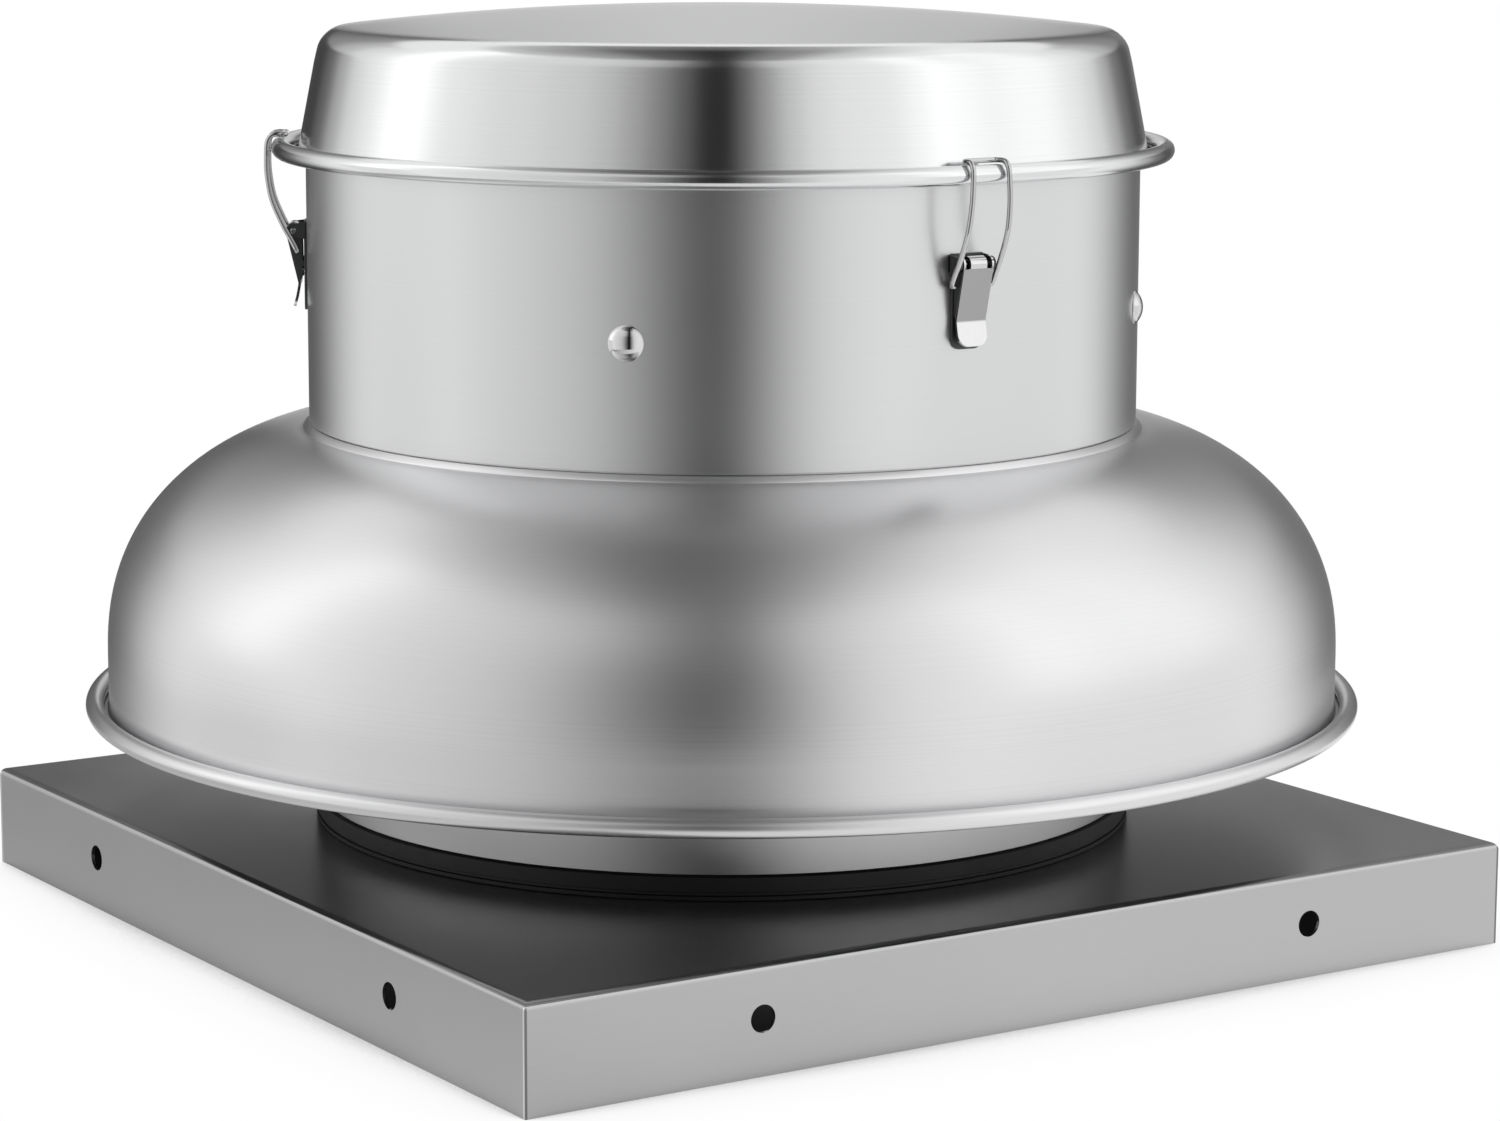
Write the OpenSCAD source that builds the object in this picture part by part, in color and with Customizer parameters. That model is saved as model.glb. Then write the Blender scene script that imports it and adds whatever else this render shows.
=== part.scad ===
// Roof exhaust fan: spun bell housing on a square curb cap, direct-drive centrifugal wheel,
// motor compartment closed by a lift-off cap that three draw latches hold down.
// Millimetres, +Z up, origin at the middle of the curb cap's lower edge.

/* [Curb cap] */
// Outside width of the square curb cap
curb_w = 482.6; // [460:0.1:560]
// Height of the flange that laps over the roof curb
curb_h = 44.5; // [38:0.1:70]
// Sheet thickness of the curb cap
curb_t = 1.6; // [1.2:0.1:2.5]
// Outside bend radius between the top and the flange
curb_bend = 3.2; // [2.8:0.1:6]
// Diameter of the fixing holes in the flange
curb_hole_d = 11.2; // [6:0.1:14]
// Distance between the two fixing holes of one side
curb_hole_pitch = 272; // [150:1:360]
// Height of the fixing holes above the flange's lower edge
curb_hole_z = 23; // [12:0.5:26]
// Distance by which the inlet's mouth is wider than the air opening, all round
opening_lap = 3; // [1:0.5:12]

/* [Inlet] */
// Inside diameter of the inlet throat
throat_d = 216; // [180:1:220]
// Radius of the inlet's bell mouth
mouth_r = 30; // [26:1:34]
// Width of the inlet's fixing flange
inlet_flange = 12; // [10:0.5:12]
// Sheet thickness of the inlet
inlet_t = 1.5; // [1:0.1:2.5]
// Height of the throat's upper edge above the curb cap
throat_rise = 63.5; // [52:0.5:64]
// Number of rivets through the inlet's flange
inlet_rivet_count = 8; // [4:1:12]

/* [Collar] */
// Height of the collar around the inlet
collar_h = 40; // [30:0.5:46]
// Sheet thickness of the collar
collar_t = 1.5; // [1:0.1:2.5]
// Height of the rubber strip under the collar
gasket_h = 10.5; // [6:0.5:14]
// Thickness of the rubber strip under the collar
gasket_t = 3; // [2:0.1:4]
// Depth of the groove around the rubber strip
gasket_groove = 0.8; // [0.4:0.1:1.2]

/* [Support straps] */
// Width of a support strap
strap_w = 25; // [18:0.5:36]
// Thickness of a support strap
strap_t = 3; // [2:0.1:5]
// Length of the foot that a strap turns in over the curb cap
foot_len = 21; // [18:0.5:22]
// Distance from the strap's outer face to the bolt in its foot
foot_bolt_in = 13; // [11:0.5:14]

/* [Bell housing] */
// Overall diameter over the rolled rim
bell_d = 558; // [540:1:640]
// Diameter of the rolled rim's tube
bell_bead_d = 7.8; // [6:0.1:12]
// Width of the channel between the skirt and the rolled rim
bell_channel = 2.2; // [1:0.1:6]
// Height of the rim's middle above the curb cap
rim_rise = 52.6; // [40:0.1:80]
// Height of the straight skirt above the rim's middle
skirt_h = 22.6; // [12:0.1:50]
// Height of the rounded shoulder above the skirt
shoulder_h = 96.3; // [80:0.1:120]
// Exponent that sets how square the shoulder is in plan direction
shoulder_p = 1.72; // [1.5:0.01:2.4]
// Exponent that sets how square the shoulder is in height
shoulder_q = 2.29; // [1.8:0.01:2.6]
// Sheet thickness of the bell
bell_t = 2; // [1.2:0.1:2.5]
// Radius of the fillet at the foot of the neck
neck_fillet = 1.5; // [0.8:0.1:3]
// Width of the ledge that the motor band stands on, beyond the band
neck_ledge = 0.3; // [0.1:0.1:2]
// Height of the neck inside the motor band
neck_h = 62.5; // [50:0.5:66]

/* [Motor band] */
// Outside diameter of the motor band
band_d = 361; // [350:0.5:380]
// Sheet thickness of the motor band
band_t = 2; // [1.2:0.1:2.5]
// Height of the motor band
band_h = 121.5; // [112:0.5:150]
// Height of the strap bolts above the band's lower edge
band_bolt_z = 53.5; // [40:0.5:54]
// Thickness of the sealing ring on the band's upper edge
seal_h = 4; // [3:0.5:8]
// Radial width of the sealing ring on the band's upper edge
seal_w = 3.5; // [2.6:0.1:6]

/* [Cap] */
// Sheet thickness of the cap
cap_t = 1.5; // [1:0.1:2.5]
// Slope of the cap's wall from the vertical
cap_taper = 11.2; // [4:0.1:16]
// Height from the rim's middle to the edge of the crowned top
cap_h = 51.3; // [40:0.1:90]
// Rise of the crowned top
crown_h = 9.5; // [3:0.1:20]
// Radius of the shoulder between the wall and the top
cap_shoulder_r = 12.6; // [6:0.1:20]
// Slope at which the shoulder leaves the crowned top
crease_angle = 17; // [10:1:30]
// Diameter of the rolled rim's tube
cap_bead_d = 8.1; // [6:0.1:12]
// Width of the channel between the wall and the rolled rim
cap_channel = 3.4; // [1.5:0.1:6]
// Distance that the rim's middle lies below the band's upper edge
cap_drop = 2.1; // [0.5:0.1:4]
// Radial clearance between the cap and the sealing ring
cap_clear = 0.4; // [0.3:0.05:1]

/* [Draw latches] */
// Number of draw latches around the band
latch_count = 3; // [2:1:4]
// Width of the latch lever
lever_w = 14.8; // [12:0.1:20]
// Sheet thickness of the lever
lever_t = 1.2; // [0.8:0.1:1.6]
// Length of the lever below its hinge
lever_len = 33; // [28:0.5:40]
// Distance of the hinge below the band's upper edge
latch_drop = 38; // [34:0.5:46]
// Distance of the hinge from the band's surface
hinge_out = 5.5; // [5:0.1:7]
// Diameter of the hinge pin
hinge_pin_d = 2.5; // [1.8:0.1:3]
// Distance of the bail's pivot below the hinge
bail_arm = 9; // [8:0.1:11]
// Distance of the bail's pivot inside the hinge
bail_in = 1.6; // [1:0.1:1.8]
// Diameter of the bail's wire
wire_d = 2.2; // [1.6:0.1:2.4]
// Distance of the bail's hook inside the middle of the cap's rim
hook_in = 2; // [1:0.1:3]
// Gap between the bail's hook and the cap's rim
hook_gap = 0.85; // [0.7:0.05:2]
// Gap between the bail's legs and the cap's rim
leg_gap = 0.65; // [0.4:0.05:2]
// Thickness of the latch's base plate
base_t = 1.2; // [0.8:0.1:1.4]
// Width of the latch's base plate
base_w = 20; // [18.5:0.5:30]
// Thickness of the base plate's ears
ear_t = 1; // [0.8:0.1:1.6]
// Side clearance between the lever and the ears, and between the ears and the bail
side_clear = 0.25; // [0.2:0.05:0.5]

/* [Fan wheel] */
// Diameter of the fan wheel
wheel_d = 300; // [270:1:320]
// Height of the wheel's outlet
outlet_h = 57; // [40:0.5:60]
// Rise of the shroud from the eye to the outlet
shroud_rise = 20; // [10:0.5:26]
// Thickness of the wheel's sheet
wheel_t = 1.5; // [1:0.1:3]
// Thickness of the backplate
backplate_t = 2; // [1.5:0.1:4]
// Number of blades
blade_count = 9; // [6:1:9]
// Thickness of a blade
blade_t = 2; // [1.2:0.1:3]
// Angle between a blade's outer end and the rim's tangent
blade_out_angle = 38; // [25:1:50]
// Angle between a blade's inner end and the tangent there
blade_in_angle = 20; // [12:1:30]
// Diameter of the circle through the blades' inner ends
blade_in_d = 204; // [180:1:216]
// Running gap between the throat and the wheel's eye
eye_gap = 2; // [1:0.1:4]
// Length by which the throat reaches into the eye
eye_lap = 6; // [3:0.5:8]

/* [Shaft and hub] */
// Diameter of the motor shaft
shaft_d = 17; // [14:0.5:20]
// Radial running clearance of the shaft in its bearings
shaft_clear = 0.03; // [0.01:0.01:0.1]
// Diameter of the wheel's hub
hub_d = 40; // [34:1:50]
// Length of the wheel's hub
hub_len = 27; // [22:1:34]
// Diameter of the hub's flange
hub_flange_d = 84; // [76:1:100]
// Thickness of the hub's flange
hub_flange_t = 6; // [4:0.5:8]
// Number of rivets through the hub's flange
hub_rivet_count = 6; // [4:1:8]
// Diameter of the hub's set screw
set_screw_d = 8; // [5:0.5:8]

/* [Motor] */
// Outside diameter of the motor shell
motor_d = 140; // [130:1:144]
// Sheet thickness of the motor shell
motor_t = 2; // [1.5:0.1:3]
// Length of the motor shell
motor_len = 76; // [72:0.5:80]
// Thickness of the motor's base flange
motor_base_t = 6; // [4:0.5:8]
// Thickness of the motor's top cover
motor_cover_t = 12; // [8:0.5:14]
// From the motor shell out to the middle of its mounting bolts
motor_bolt_gap = 14; // [12:0.5:16]
// Height of the rubber isolators
isolator_h = 12; // [10:0.5:16]
// Diameter of the rubber isolators
isolator_d = 24; // [20:0.5:26]
// Outside diameter of the ball bearings
bearing_d = 40; // [36:0.5:44]
// Width of the ball bearings
bearing_w = 12; // [10:0.5:13]
// Air gap between the motor's rotor and stator
air_gap = 0.5; // [0.3:0.1:1]
// Diameter of the motor's rotor
rotor_d = 84; // [70:1:90]
// Height of the motor pan's web above the band's lower edge
pan_rise = 8.5; // [6:0.5:12]
// Sheet thickness of the motor pan
pan_t = 1.5; // [1:0.1:2.5]
// Distance between the motor pan and the wheel's backplate
wheel_drop = 37; // [34:0.5:44]

/* [Junction box] */
// Length of the junction box
box_l = 58; // [50:1:60]
// Width of the junction box
box_w = 46; // [36:1:60]
// Height of the junction box
box_h = 36; // [28:1:60]
// Wall thickness of the junction box
box_t = 1.5; // [1:0.1:3]
// Distance of the junction box's middle from the shaft
box_out = 132; // [130:1:136]

/* [Fasteners] */
// Thread diameter of the bolts
bolt_d = 8; // [6:0.5:8]
// Clearance of a bolt or rivet in its hole, on the radius
hole_clear = 0.15; // [0.05:0.05:0.4]
// Diameter of the dome heads on the motor band
dome_d = 13.8; // [12:0.1:16]
// Height of the dome heads on the motor band
dome_h = 3.2; // [2:0.1:5]
// Diameter of the sheet-metal rivets
rivet_d = 4; // [3:0.1:4.8]
// Diameter of the latch rivets
latch_rivet_d = 3.2; // [2.4:0.1:3.2]

/* [Hidden] */
$fn = 96;
cut = 1;
strap_count = 4;
nut_w = 1.9 * bolt_d;
nut_h = 0.8 * bolt_d;
bolt_head_h = 0.65 * bolt_d;

// Heights that the pieces share, from the curb cap upwards
collar_z = curb_h + gasket_h;
rim_z = curb_h + rim_rise;
skirt_z = rim_z + skirt_h;
bell_z = skirt_z + shoulder_h;
band_z = bell_z + neck_fillet;
neck_z = band_z + neck_h;
bolt_z = band_z + band_bolt_z;
band_top = band_z + band_h;
seal_z = band_top + seal_h;
cap_rim_z = band_top - cap_drop;
crease_z = cap_rim_z + cap_h;
pan_z = band_z + pan_rise;
motor_z = pan_z + pan_t + isolator_h;
shell_z = motor_z + motor_base_t;
cover_z = shell_z + motor_len;
backplate_z = pan_z - wheel_drop - backplate_t;
throat_z = curb_h + throat_rise;
eye_z = throat_z - eye_lap;
outlet_z = backplate_z - outlet_h;

// Radii that the pieces share, from the band inwards
band_r = band_d / 2;
neck_r = band_r - band_t;
strap_r = neck_r - bell_t;
pan_r = strap_r - strap_t;
collar_r = strap_r + collar_t;
throat_r = throat_d / 2;
mouth_top_r = mouth_r - inlet_t;
inlet_flange_r = throat_r + mouth_r;
inlet_edge_r = inlet_flange_r + inlet_flange;
opening_r = inlet_flange_r - opening_lap;
inlet_rivet_r = inlet_flange_r + inlet_flange / 2;
foot_bolt_r = strap_r - foot_bolt_in;
strap_angle = strap_w / strap_r * 180 / PI;
nut_seat_r = sqrt((pan_r - pan_t) * (pan_r - pan_t) - nut_w * nut_w / 4) - 0.02;

// Bell: skirt, rolled rim and the start of the shoulder
bell_bead_r = bell_bead_d / 2;
bell_bead_c = bell_d / 2 - bell_bead_r;
skirt_r = bell_bead_c - bell_bead_r - bell_channel;
ledge_r = band_r + neck_ledge;
shoulder_r = ledge_r + neck_fillet;
shoulder_steps = 18;
bell_rim_t = 0.8 * bell_t;
curl_end = 555;

// Cap: its wall just clears the sealing ring, and leans in from there
cap_bead_r = cap_bead_d / 2;
cap_wall_t = cap_t / cos(cap_taper);
function cap_wall_r(z) = band_r + cap_clear + cap_wall_t - (z - seal_z) * tan(cap_taper);
cap_bead_c = cap_wall_r(cap_rim_z) + cap_channel + cap_bead_r;
shoulder_drop = cap_shoulder_r * (cos(crease_angle) - sin(cap_taper));
shoulder_in = cap_shoulder_r * (cos(cap_taper) - sin(crease_angle));
cap_wall_top = crease_z - shoulder_drop;
crease_r = cap_wall_r(cap_wall_top) - shoulder_in;
crown_r = (crease_r * crease_r + crown_h * crown_h) / (2 * crown_h);

// Latch: hinge H, bail pivot B and hook C in the latch's own plane
hinge_x = band_r + hinge_out;
hinge_z = band_top - latch_drop;
hinge_r = hinge_pin_d / 2;
wire_r = wire_d / 2;
bail_x = hinge_x - bail_in;
bail_z = hinge_z - bail_arm;
hook_reach = cap_bead_r + wire_r + hook_gap;
hook_x = cap_bead_c - hook_in;
hook_z = cap_rim_z + sqrt(hook_reach * hook_reach - hook_in * hook_in);
leg_x = cap_bead_c + cap_bead_r + wire_r + leg_gap;
lever_hub = 3.3;
bend_swell = 1.04;
ear_in = lever_w / 2 + side_clear;
ear_out = ear_in + ear_t;
leg_y = ear_out + side_clear + wire_r;
base_low = hinge_z - lever_len - 2;
base_high = hinge_z + 4;
latch_rivet_z = hinge_z - 14.5;
latch_rivet_y = 3.5;
latch_rivet_head = 1.75 * latch_rivet_d / 2;
latch_rivet_head_h = 0.8;
lip_x = band_r + base_t + 1.9;

// Wheel
wheel_r = wheel_d / 2;
eye_r = throat_r + inlet_t + eye_gap;
shroud_path = [
    [eye_r + wheel_t / 2, eye_z],
    [eye_r + wheel_t / 2, outlet_z - shroud_rise],
    [eye_r + 9, outlet_z - shroud_rise * 0.55],
    [wheel_r, outlet_z]
];
shaft_r = shaft_d / 2;
shaft_low = backplate_z - hub_len;
hub_rivet_r = (hub_d + hub_flange_d) / 4 + 2;

// Motor
shell_in_r = motor_d / 2 - motor_t;
motor_bolt_r = motor_d / 2 + motor_bolt_gap;
motor_base_r = motor_bolt_r + isolator_d / 2;
bearing_r = bearing_d / 2;
bearing_boss_r = bearing_r + 8;
bearing_low_z = motor_z - 4;
boss_floor = 3;
bearing_high_z = cover_z - bearing_w - 2;
rotor_r = rotor_d / 2;
core_h = 34;
core_z = shell_z + motor_len / 2 - core_h / 2 - 5;
coil_h = 9;
coil_in_r = rotor_r + 5;
tie_rod_r = motor_d / 2 + 4.5;
tie_rod_d = 5;
seal_plate_r = 36;
shaft_hole_r = 28;
gland_d = 20;
gland_nut_h = 9;
gland_dome_h = 7;
gland_thread_h = pan_t + box_t + 8;

WHEEL_BLADES = [for (k = [1:blade_count]) str("wheel_blade_", k)];
STRAPS = [for (k = [1:strap_count]) str("support_strap_", k)];
LATCH_BASES = [for (k = [1:latch_count]) str("latch_base_", k)];
LATCH_LEVERS = [for (k = [1:latch_count]) str("latch_lever_", k)];
LATCH_BAILS = [for (k = [1:latch_count]) str("latch_bail_", k)];

SHEET = "silver";
STAINLESS = "lightsteelblue";
STEEL = "slategray";
RUBBER = "dimgray";

// Places that several pieces share
module at_diagonals() for (k = [0:strap_count - 1]) rotate(45 + 90 * k) children();
module at_latches() for (k = [1:latch_count]) at_latch(k) children();
module at_latch(k) rotate(-90 + (k - 1) * 360 / latch_count) children();
module at_motor_bolts() for (a = [0:90:270]) rotate(a) translate([motor_bolt_r, 0, 0]) children();
module at_tie_rods() for (a = [45:90:315]) rotate(a) translate([tie_rod_r, 0, 0]) children();
module at_hub_rivets() for (k = [1:hub_rivet_count]) rotate(k * 360 / hub_rivet_count)
    translate([hub_rivet_r, 0, 0]) children();
module at_inlet_rivets() for (k = [1:inlet_rivet_count]) rotate((k - 0.5) * 360 / inlet_rivet_count)
    translate([inlet_rivet_r, 0, 0]) children();

// A ring of rectangular section
module ring(r_in, r_out, z, h) translate([0, 0, z]) difference() {
    cylinder(r = r_out, h = h);
    translate([0, 0, -cut]) cylinder(r = r_in, h = h + 2 * cut);
}

// A cylinder along +X from x = a to x = b
module bar_x(r, a, b) translate([a, 0, 0]) rotate([0, 90, 0]) cylinder(r = r, h = b - a);

// A bolt along +Z with its hex head below the origin
module hex_bolt(len) {
    translate([0, 0, -bolt_head_h]) cylinder(d = nut_w, h = bolt_head_h, $fn = 6);
    cylinder(d = bolt_d, h = len);
}

// A hex nut that stands on the origin
module hex_nut() difference() {
    cylinder(d = nut_w, h = nut_h, $fn = 6);
    translate([0, 0, -cut]) cylinder(r = bolt_d / 2 + 0.02, h = nut_h + 2 * cut);
}

// A rivet along Z through sheets that reach from z = a to z = b
module sheet_rivet(a, b, d = rivet_d) {
    translate([0, 0, a]) cylinder(d = d, h = b - a);
    translate([0, 0, b]) cylinder(d1 = 2 * d, d2 = 1.3 * d, h = 0.4 * d);
    translate([0, 0, a - 0.35 * d]) cylinder(d = 1.7 * d, h = 0.35 * d);
}

// A bent strip of sheet, drawn flat along a path of points
module strip(path, t) {
    for (k = [0:len(path) - 2]) {
        step = path[k + 1] - path[k];
        translate(path[k]) rotate(atan2(step[1], step[0])) translate([0, -t / 2]) square([norm(step), t]);
    }
    if (len(path) > 2) for (k = [1:len(path) - 2]) translate(path[k]) circle(d = t);
}

// The rolled edge of a spun shell: its flange is curled up into an open tube,
// listed from the flange's upper side round the inside and back round the outside
function arc(centre, r, from, to, step) = [for (a = [from:step:to]) centre + r * [cos(a), sin(a)]];
function curl(centre, bead_r, t) = concat(
    arc(centre, bead_r - t, 270, curl_end, 15),
    arc(centre, bead_r, curl_end, 270, -15)
);

// Curb cap: one sheet folded down on four sides
module fold_profile(w, h, r) {
    translate([-w / 2, -cut]) square([w, h - r + cut]);
    translate([-w / 2 + r, -cut]) square([w - 2 * r, h + cut]);
    for (s = [-1, 1]) translate([s * (w / 2 - r), h - r]) circle(r = r);
}

module folded_block(w, h, r) intersection() {
    rotate([90, 0, 0]) translate([0, 0, -w / 2]) linear_extrude(w) fold_profile(w, h, r);
    rotate([90, 0, 90]) translate([0, 0, -w / 2]) linear_extrude(w) fold_profile(w, h, r);
}

module curb_cap() color(SHEET) difference() {
    folded_block(curb_w, curb_h, curb_bend);
    folded_block(curb_w - 2 * curb_t, curb_h - curb_t, curb_bend - curb_t);
    translate([-curb_w, -curb_w, -2 * cut]) cube([2 * curb_w, 2 * curb_w, 2 * cut]);
    translate([0, 0, curb_h - curb_t - cut]) cylinder(r = opening_r, h = curb_t + 2 * cut);
    for (side = [0:90:270], s = [-1, 1]) rotate(side)
        translate([0, s * curb_hole_pitch / 2, curb_hole_z])
            bar_x(curb_hole_d / 2, curb_w / 2 - curb_t - cut, curb_w / 2 + cut);
    at_diagonals() translate([foot_bolt_r, 0, curb_h - curb_t - cut])
        cylinder(r = bolt_d / 2 + hole_clear, h = curb_t + 2 * cut);
    at_inlet_rivets() translate([0, 0, curb_h - curb_t - cut])
        cylinder(r = rivet_d / 2 + hole_clear, h = curb_t + 2 * cut);
}

// Rubber strip that seals the collar to the curb cap, grooved on its outside
module collar_gasket() color(RUBBER) difference() {
    ring(strap_r, strap_r + gasket_t, curb_h, gasket_h);
    ring(strap_r + gasket_t - gasket_groove, strap_r + gasket_t + cut, curb_h + 0.2 * gasket_h, 0.15 * gasket_h);
}

// Collar: upstand that keeps rain out of the inlet
module inlet_collar() color(SHEET) difference() {
    ring(strap_r, collar_r, collar_z, collar_h);
    at_diagonals() translate([0, 0, collar_z + 0.75 * collar_h])
        bar_x(rivet_d / 2 + hole_clear, strap_r - cut, collar_r + cut);
}

module collar_rivets() color(SHEET) at_diagonals() translate([0, 0, collar_z + 0.75 * collar_h])
    rotate([0, 90, 0]) sheet_rivet(pan_r - 0.05, collar_r);

// Inlet: bell mouth riveted over the opening, drawn in to the throat
module inlet_venturi() color(SHEET) difference() {
    rotate_extrude() {
        translate([inlet_flange_r, curb_h]) square([inlet_flange, inlet_t]);
        intersection() {
            translate([inlet_flange_r, curb_h + mouth_r]) difference() {
                circle(r = mouth_r);
                circle(r = mouth_top_r);
            }
            translate([throat_r, curb_h]) square(mouth_r);
        }
        translate([throat_r, curb_h + mouth_r]) square([inlet_t, throat_rise - mouth_r]);
    }
    at_inlet_rivets() translate([0, 0, curb_h - cut]) cylinder(r = rivet_d / 2 + hole_clear, h = inlet_t + 2 * cut);
}

module venturi_rivets() color(SHEET) at_inlet_rivets() sheet_rivet(curb_h - curb_t, curb_h + inlet_t);

// Support strap: upright bar from the curb cap to the motor band, with a foot turned in
module support_strap(k) color(STEEL) rotate(45 + 90 * (k - 1)) difference() {
    union() {
        translate([0, 0, curb_h]) rotate(-strap_angle / 2) rotate_extrude(angle = strap_angle)
            translate([pan_r, 0]) square([strap_t, neck_z - curb_h]);
        translate([strap_r - foot_len, -strap_w / 2 + 1, curb_h]) cube([foot_len - strap_t / 2, strap_w - 2, strap_t]);
    }
    translate([foot_bolt_r, 0, curb_h - cut]) cylinder(r = bolt_d / 2 + hole_clear, h = strap_t + 2 * cut);
    translate([0, 0, bolt_z]) bar_x(bolt_d / 2 + hole_clear, pan_r - cut, strap_r + cut);
    translate([0, 0, collar_z + 0.75 * collar_h]) bar_x(rivet_d / 2 + hole_clear, pan_r - cut, strap_r + cut);
}

module foot_bolts() color(STEEL) at_diagonals() translate([foot_bolt_r, 0, curb_h - curb_t])
    hex_bolt(curb_t + strap_t + nut_h + 1);

// Bell housing: spun shell from the neck down to the rolled rim
function shoulder(r_max, z_top) = [for (k = [0:shoulder_steps])
    let (a = 90 * (1 - k / shoulder_steps))
    [shoulder_r + (r_max - shoulder_r) * pow(cos(a), 2 / shoulder_p),
     skirt_z + (z_top - skirt_z) * pow(sin(a), 2 / shoulder_q)]];

function reversed(list) = [for (k = [len(list) - 1:-1:0]) list[k]];

module bell_housing() color(SHEET) difference() {
    rotate_extrude() polygon(concat(
        [[strap_r, neck_z], [neck_r, neck_z], [neck_r, band_z], [ledge_r, band_z]],
        arc([shoulder_r, band_z], neck_fillet, 195, 255, 15),
        shoulder(skirt_r, bell_z),
        [[skirt_r, rim_z - bell_bead_r + bell_rim_t]],
        curl([bell_bead_c, rim_z], bell_bead_r, bell_rim_t),
        [[skirt_r - bell_t, rim_z - bell_bead_r]],
        reversed(shoulder(skirt_r - bell_t, bell_z - bell_t)),
        [[strap_r, bell_z - bell_t]]
    ));
    at_diagonals() translate([0, 0, bolt_z]) bar_x(bolt_d / 2 + hole_clear, strap_r - cut, neck_r + cut);
}

// Motor band: rolled sheet ring that stands on the bell's neck ledge
module motor_band() color(SHEET) difference() {
    ring(neck_r, band_r, band_z, band_h);
    at_diagonals() translate([0, 0, bolt_z]) bar_x(bolt_d / 2 + hole_clear, neck_r - cut, band_r + cut);
    at_latches() latch_rivet_holes();
}

// Motor pan: closes the air stream off from the motor compartment and carries the motor
module motor_pan() color(SHEET) difference() {
    translate([0, 0, pan_z]) cylinder(r = pan_r, h = neck_z - pan_z);
    translate([0, 0, pan_z + pan_t]) cylinder(r = pan_r - pan_t, h = neck_z);
    translate([0, 0, pan_z - cut]) cylinder(r = shaft_hole_r, h = pan_t + 2 * cut);
    at_motor_bolts() translate([0, 0, pan_z - cut]) cylinder(r = bolt_d / 2 + hole_clear, h = pan_t + 2 * cut);
    at_diagonals() translate([0, 0, bolt_z]) bar_x(bolt_d / 2 + hole_clear, pan_r - pan_t - cut, pan_r + cut);
    translate([box_out, 0, pan_z - cut]) cylinder(r = gland_d / 2 + hole_clear, h = pan_t + 2 * cut);
}

// Dome-head bolts through band, neck, strap and pan
module band_bolts() color(STAINLESS) at_diagonals() translate([0, 0, bolt_z]) {
    bar_x(bolt_d / 2, nut_seat_r - nut_h - 1, band_r);
    dome_r = (dome_d * dome_d / 4 + dome_h * dome_h) / (2 * dome_h);
    translate([band_r, 0, 0]) rotate([0, 90, 0]) rotate_extrude() intersection() {
        translate([0, dome_h - dome_r]) circle(r = dome_r);
        square([dome_d / 2, dome_h]);
    }
}

module hex_nuts() color(STEEL) {
    at_diagonals() translate([nut_seat_r, 0, bolt_z]) rotate([0, -90, 0]) hex_nut();
    at_diagonals() translate([foot_bolt_r, 0, curb_h + strap_t]) hex_nut();
    at_motor_bolts() translate([0, 0, shell_z]) hex_nut();
}

// Motor and its mounting
module shaft_seal() color(RUBBER) ring(shaft_r + 0.6, seal_plate_r, pan_z + pan_t, 1.5);

module motor_isolators() color(RUBBER) at_motor_bolts()
    ring(bolt_d / 2 + hole_clear, isolator_d / 2, pan_z + pan_t, isolator_h);

module motor_bolts() color(STEEL) at_motor_bolts() translate([0, 0, pan_z])
    hex_bolt(shell_z + nut_h + 1 - pan_z);

module motor_base() color(STEEL) difference() {
    union() {
        translate([0, 0, motor_z]) cylinder(r = motor_base_r, h = motor_base_t);
        translate([0, 0, bearing_low_z - boss_floor])
            cylinder(r = bearing_boss_r, h = bearing_w + boss_floor);
    }
    translate([0, 0, bearing_low_z]) cylinder(r = bearing_r, h = bearing_w + cut);
    translate([0, 0, bearing_low_z - boss_floor - cut]) cylinder(r = shaft_r + 1, h = boss_floor + 2 * cut);
    at_motor_bolts() translate([0, 0, motor_z - cut])
        cylinder(r = bolt_d / 2 + hole_clear, h = motor_base_t + 2 * cut);
    at_tie_rods() translate([0, 0, motor_z - cut])
        cylinder(r = tie_rod_d / 2 + hole_clear, h = motor_base_t + 2 * cut);
}

module motor_shell() color(STEEL) ring(shell_in_r, motor_d / 2, shell_z, motor_len);

module motor_top_cover() color(STEEL) difference() {
    union() {
        translate([0, 0, cover_z]) cylinder(r1 = tie_rod_r + 6, r2 = tie_rod_r + 4, h = motor_cover_t * 0.5);
        translate([0, 0, cover_z]) cylinder(r1 = motor_d / 2, r2 = motor_d / 2 - 6, h = motor_cover_t);
        translate([0, 0, bearing_high_z]) cylinder(r = bearing_boss_r, h = cover_z - bearing_high_z + cut);
    }
    translate([0, 0, bearing_high_z - cut]) cylinder(r = bearing_r, h = bearing_w + cut);
    at_tie_rods() translate([0, 0, cover_z - cut]) cylinder(r = tie_rod_d / 2 + hole_clear, h = motor_cover_t);
}

module motor_tie_rods() color(STEEL) at_tie_rods() {
    translate([0, 0, motor_z]) cylinder(d = tie_rod_d, h = cover_z + motor_cover_t * 0.5 - motor_z);
    translate([0, 0, motor_z - 3]) cylinder(d = 1.8 * tie_rod_d, h = 3);
    translate([0, 0, cover_z + motor_cover_t * 0.5]) cylinder(d = 1.8 * tie_rod_d, h = 3);
}

module bearing_lower() color("gainsboro") ring(shaft_r + shaft_clear, bearing_r, bearing_low_z, bearing_w);

module bearing_upper() color("gainsboro") ring(shaft_r + shaft_clear, bearing_r, bearing_high_z, bearing_w);

module motor_stator() color("peru") {
    ring(rotor_r + air_gap, shell_in_r, core_z, core_h);
    ring(coil_in_r, shell_in_r - 3, core_z - coil_h, coil_h);
    ring(coil_in_r, shell_in_r - 3, core_z + core_h, coil_h);
}

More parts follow.
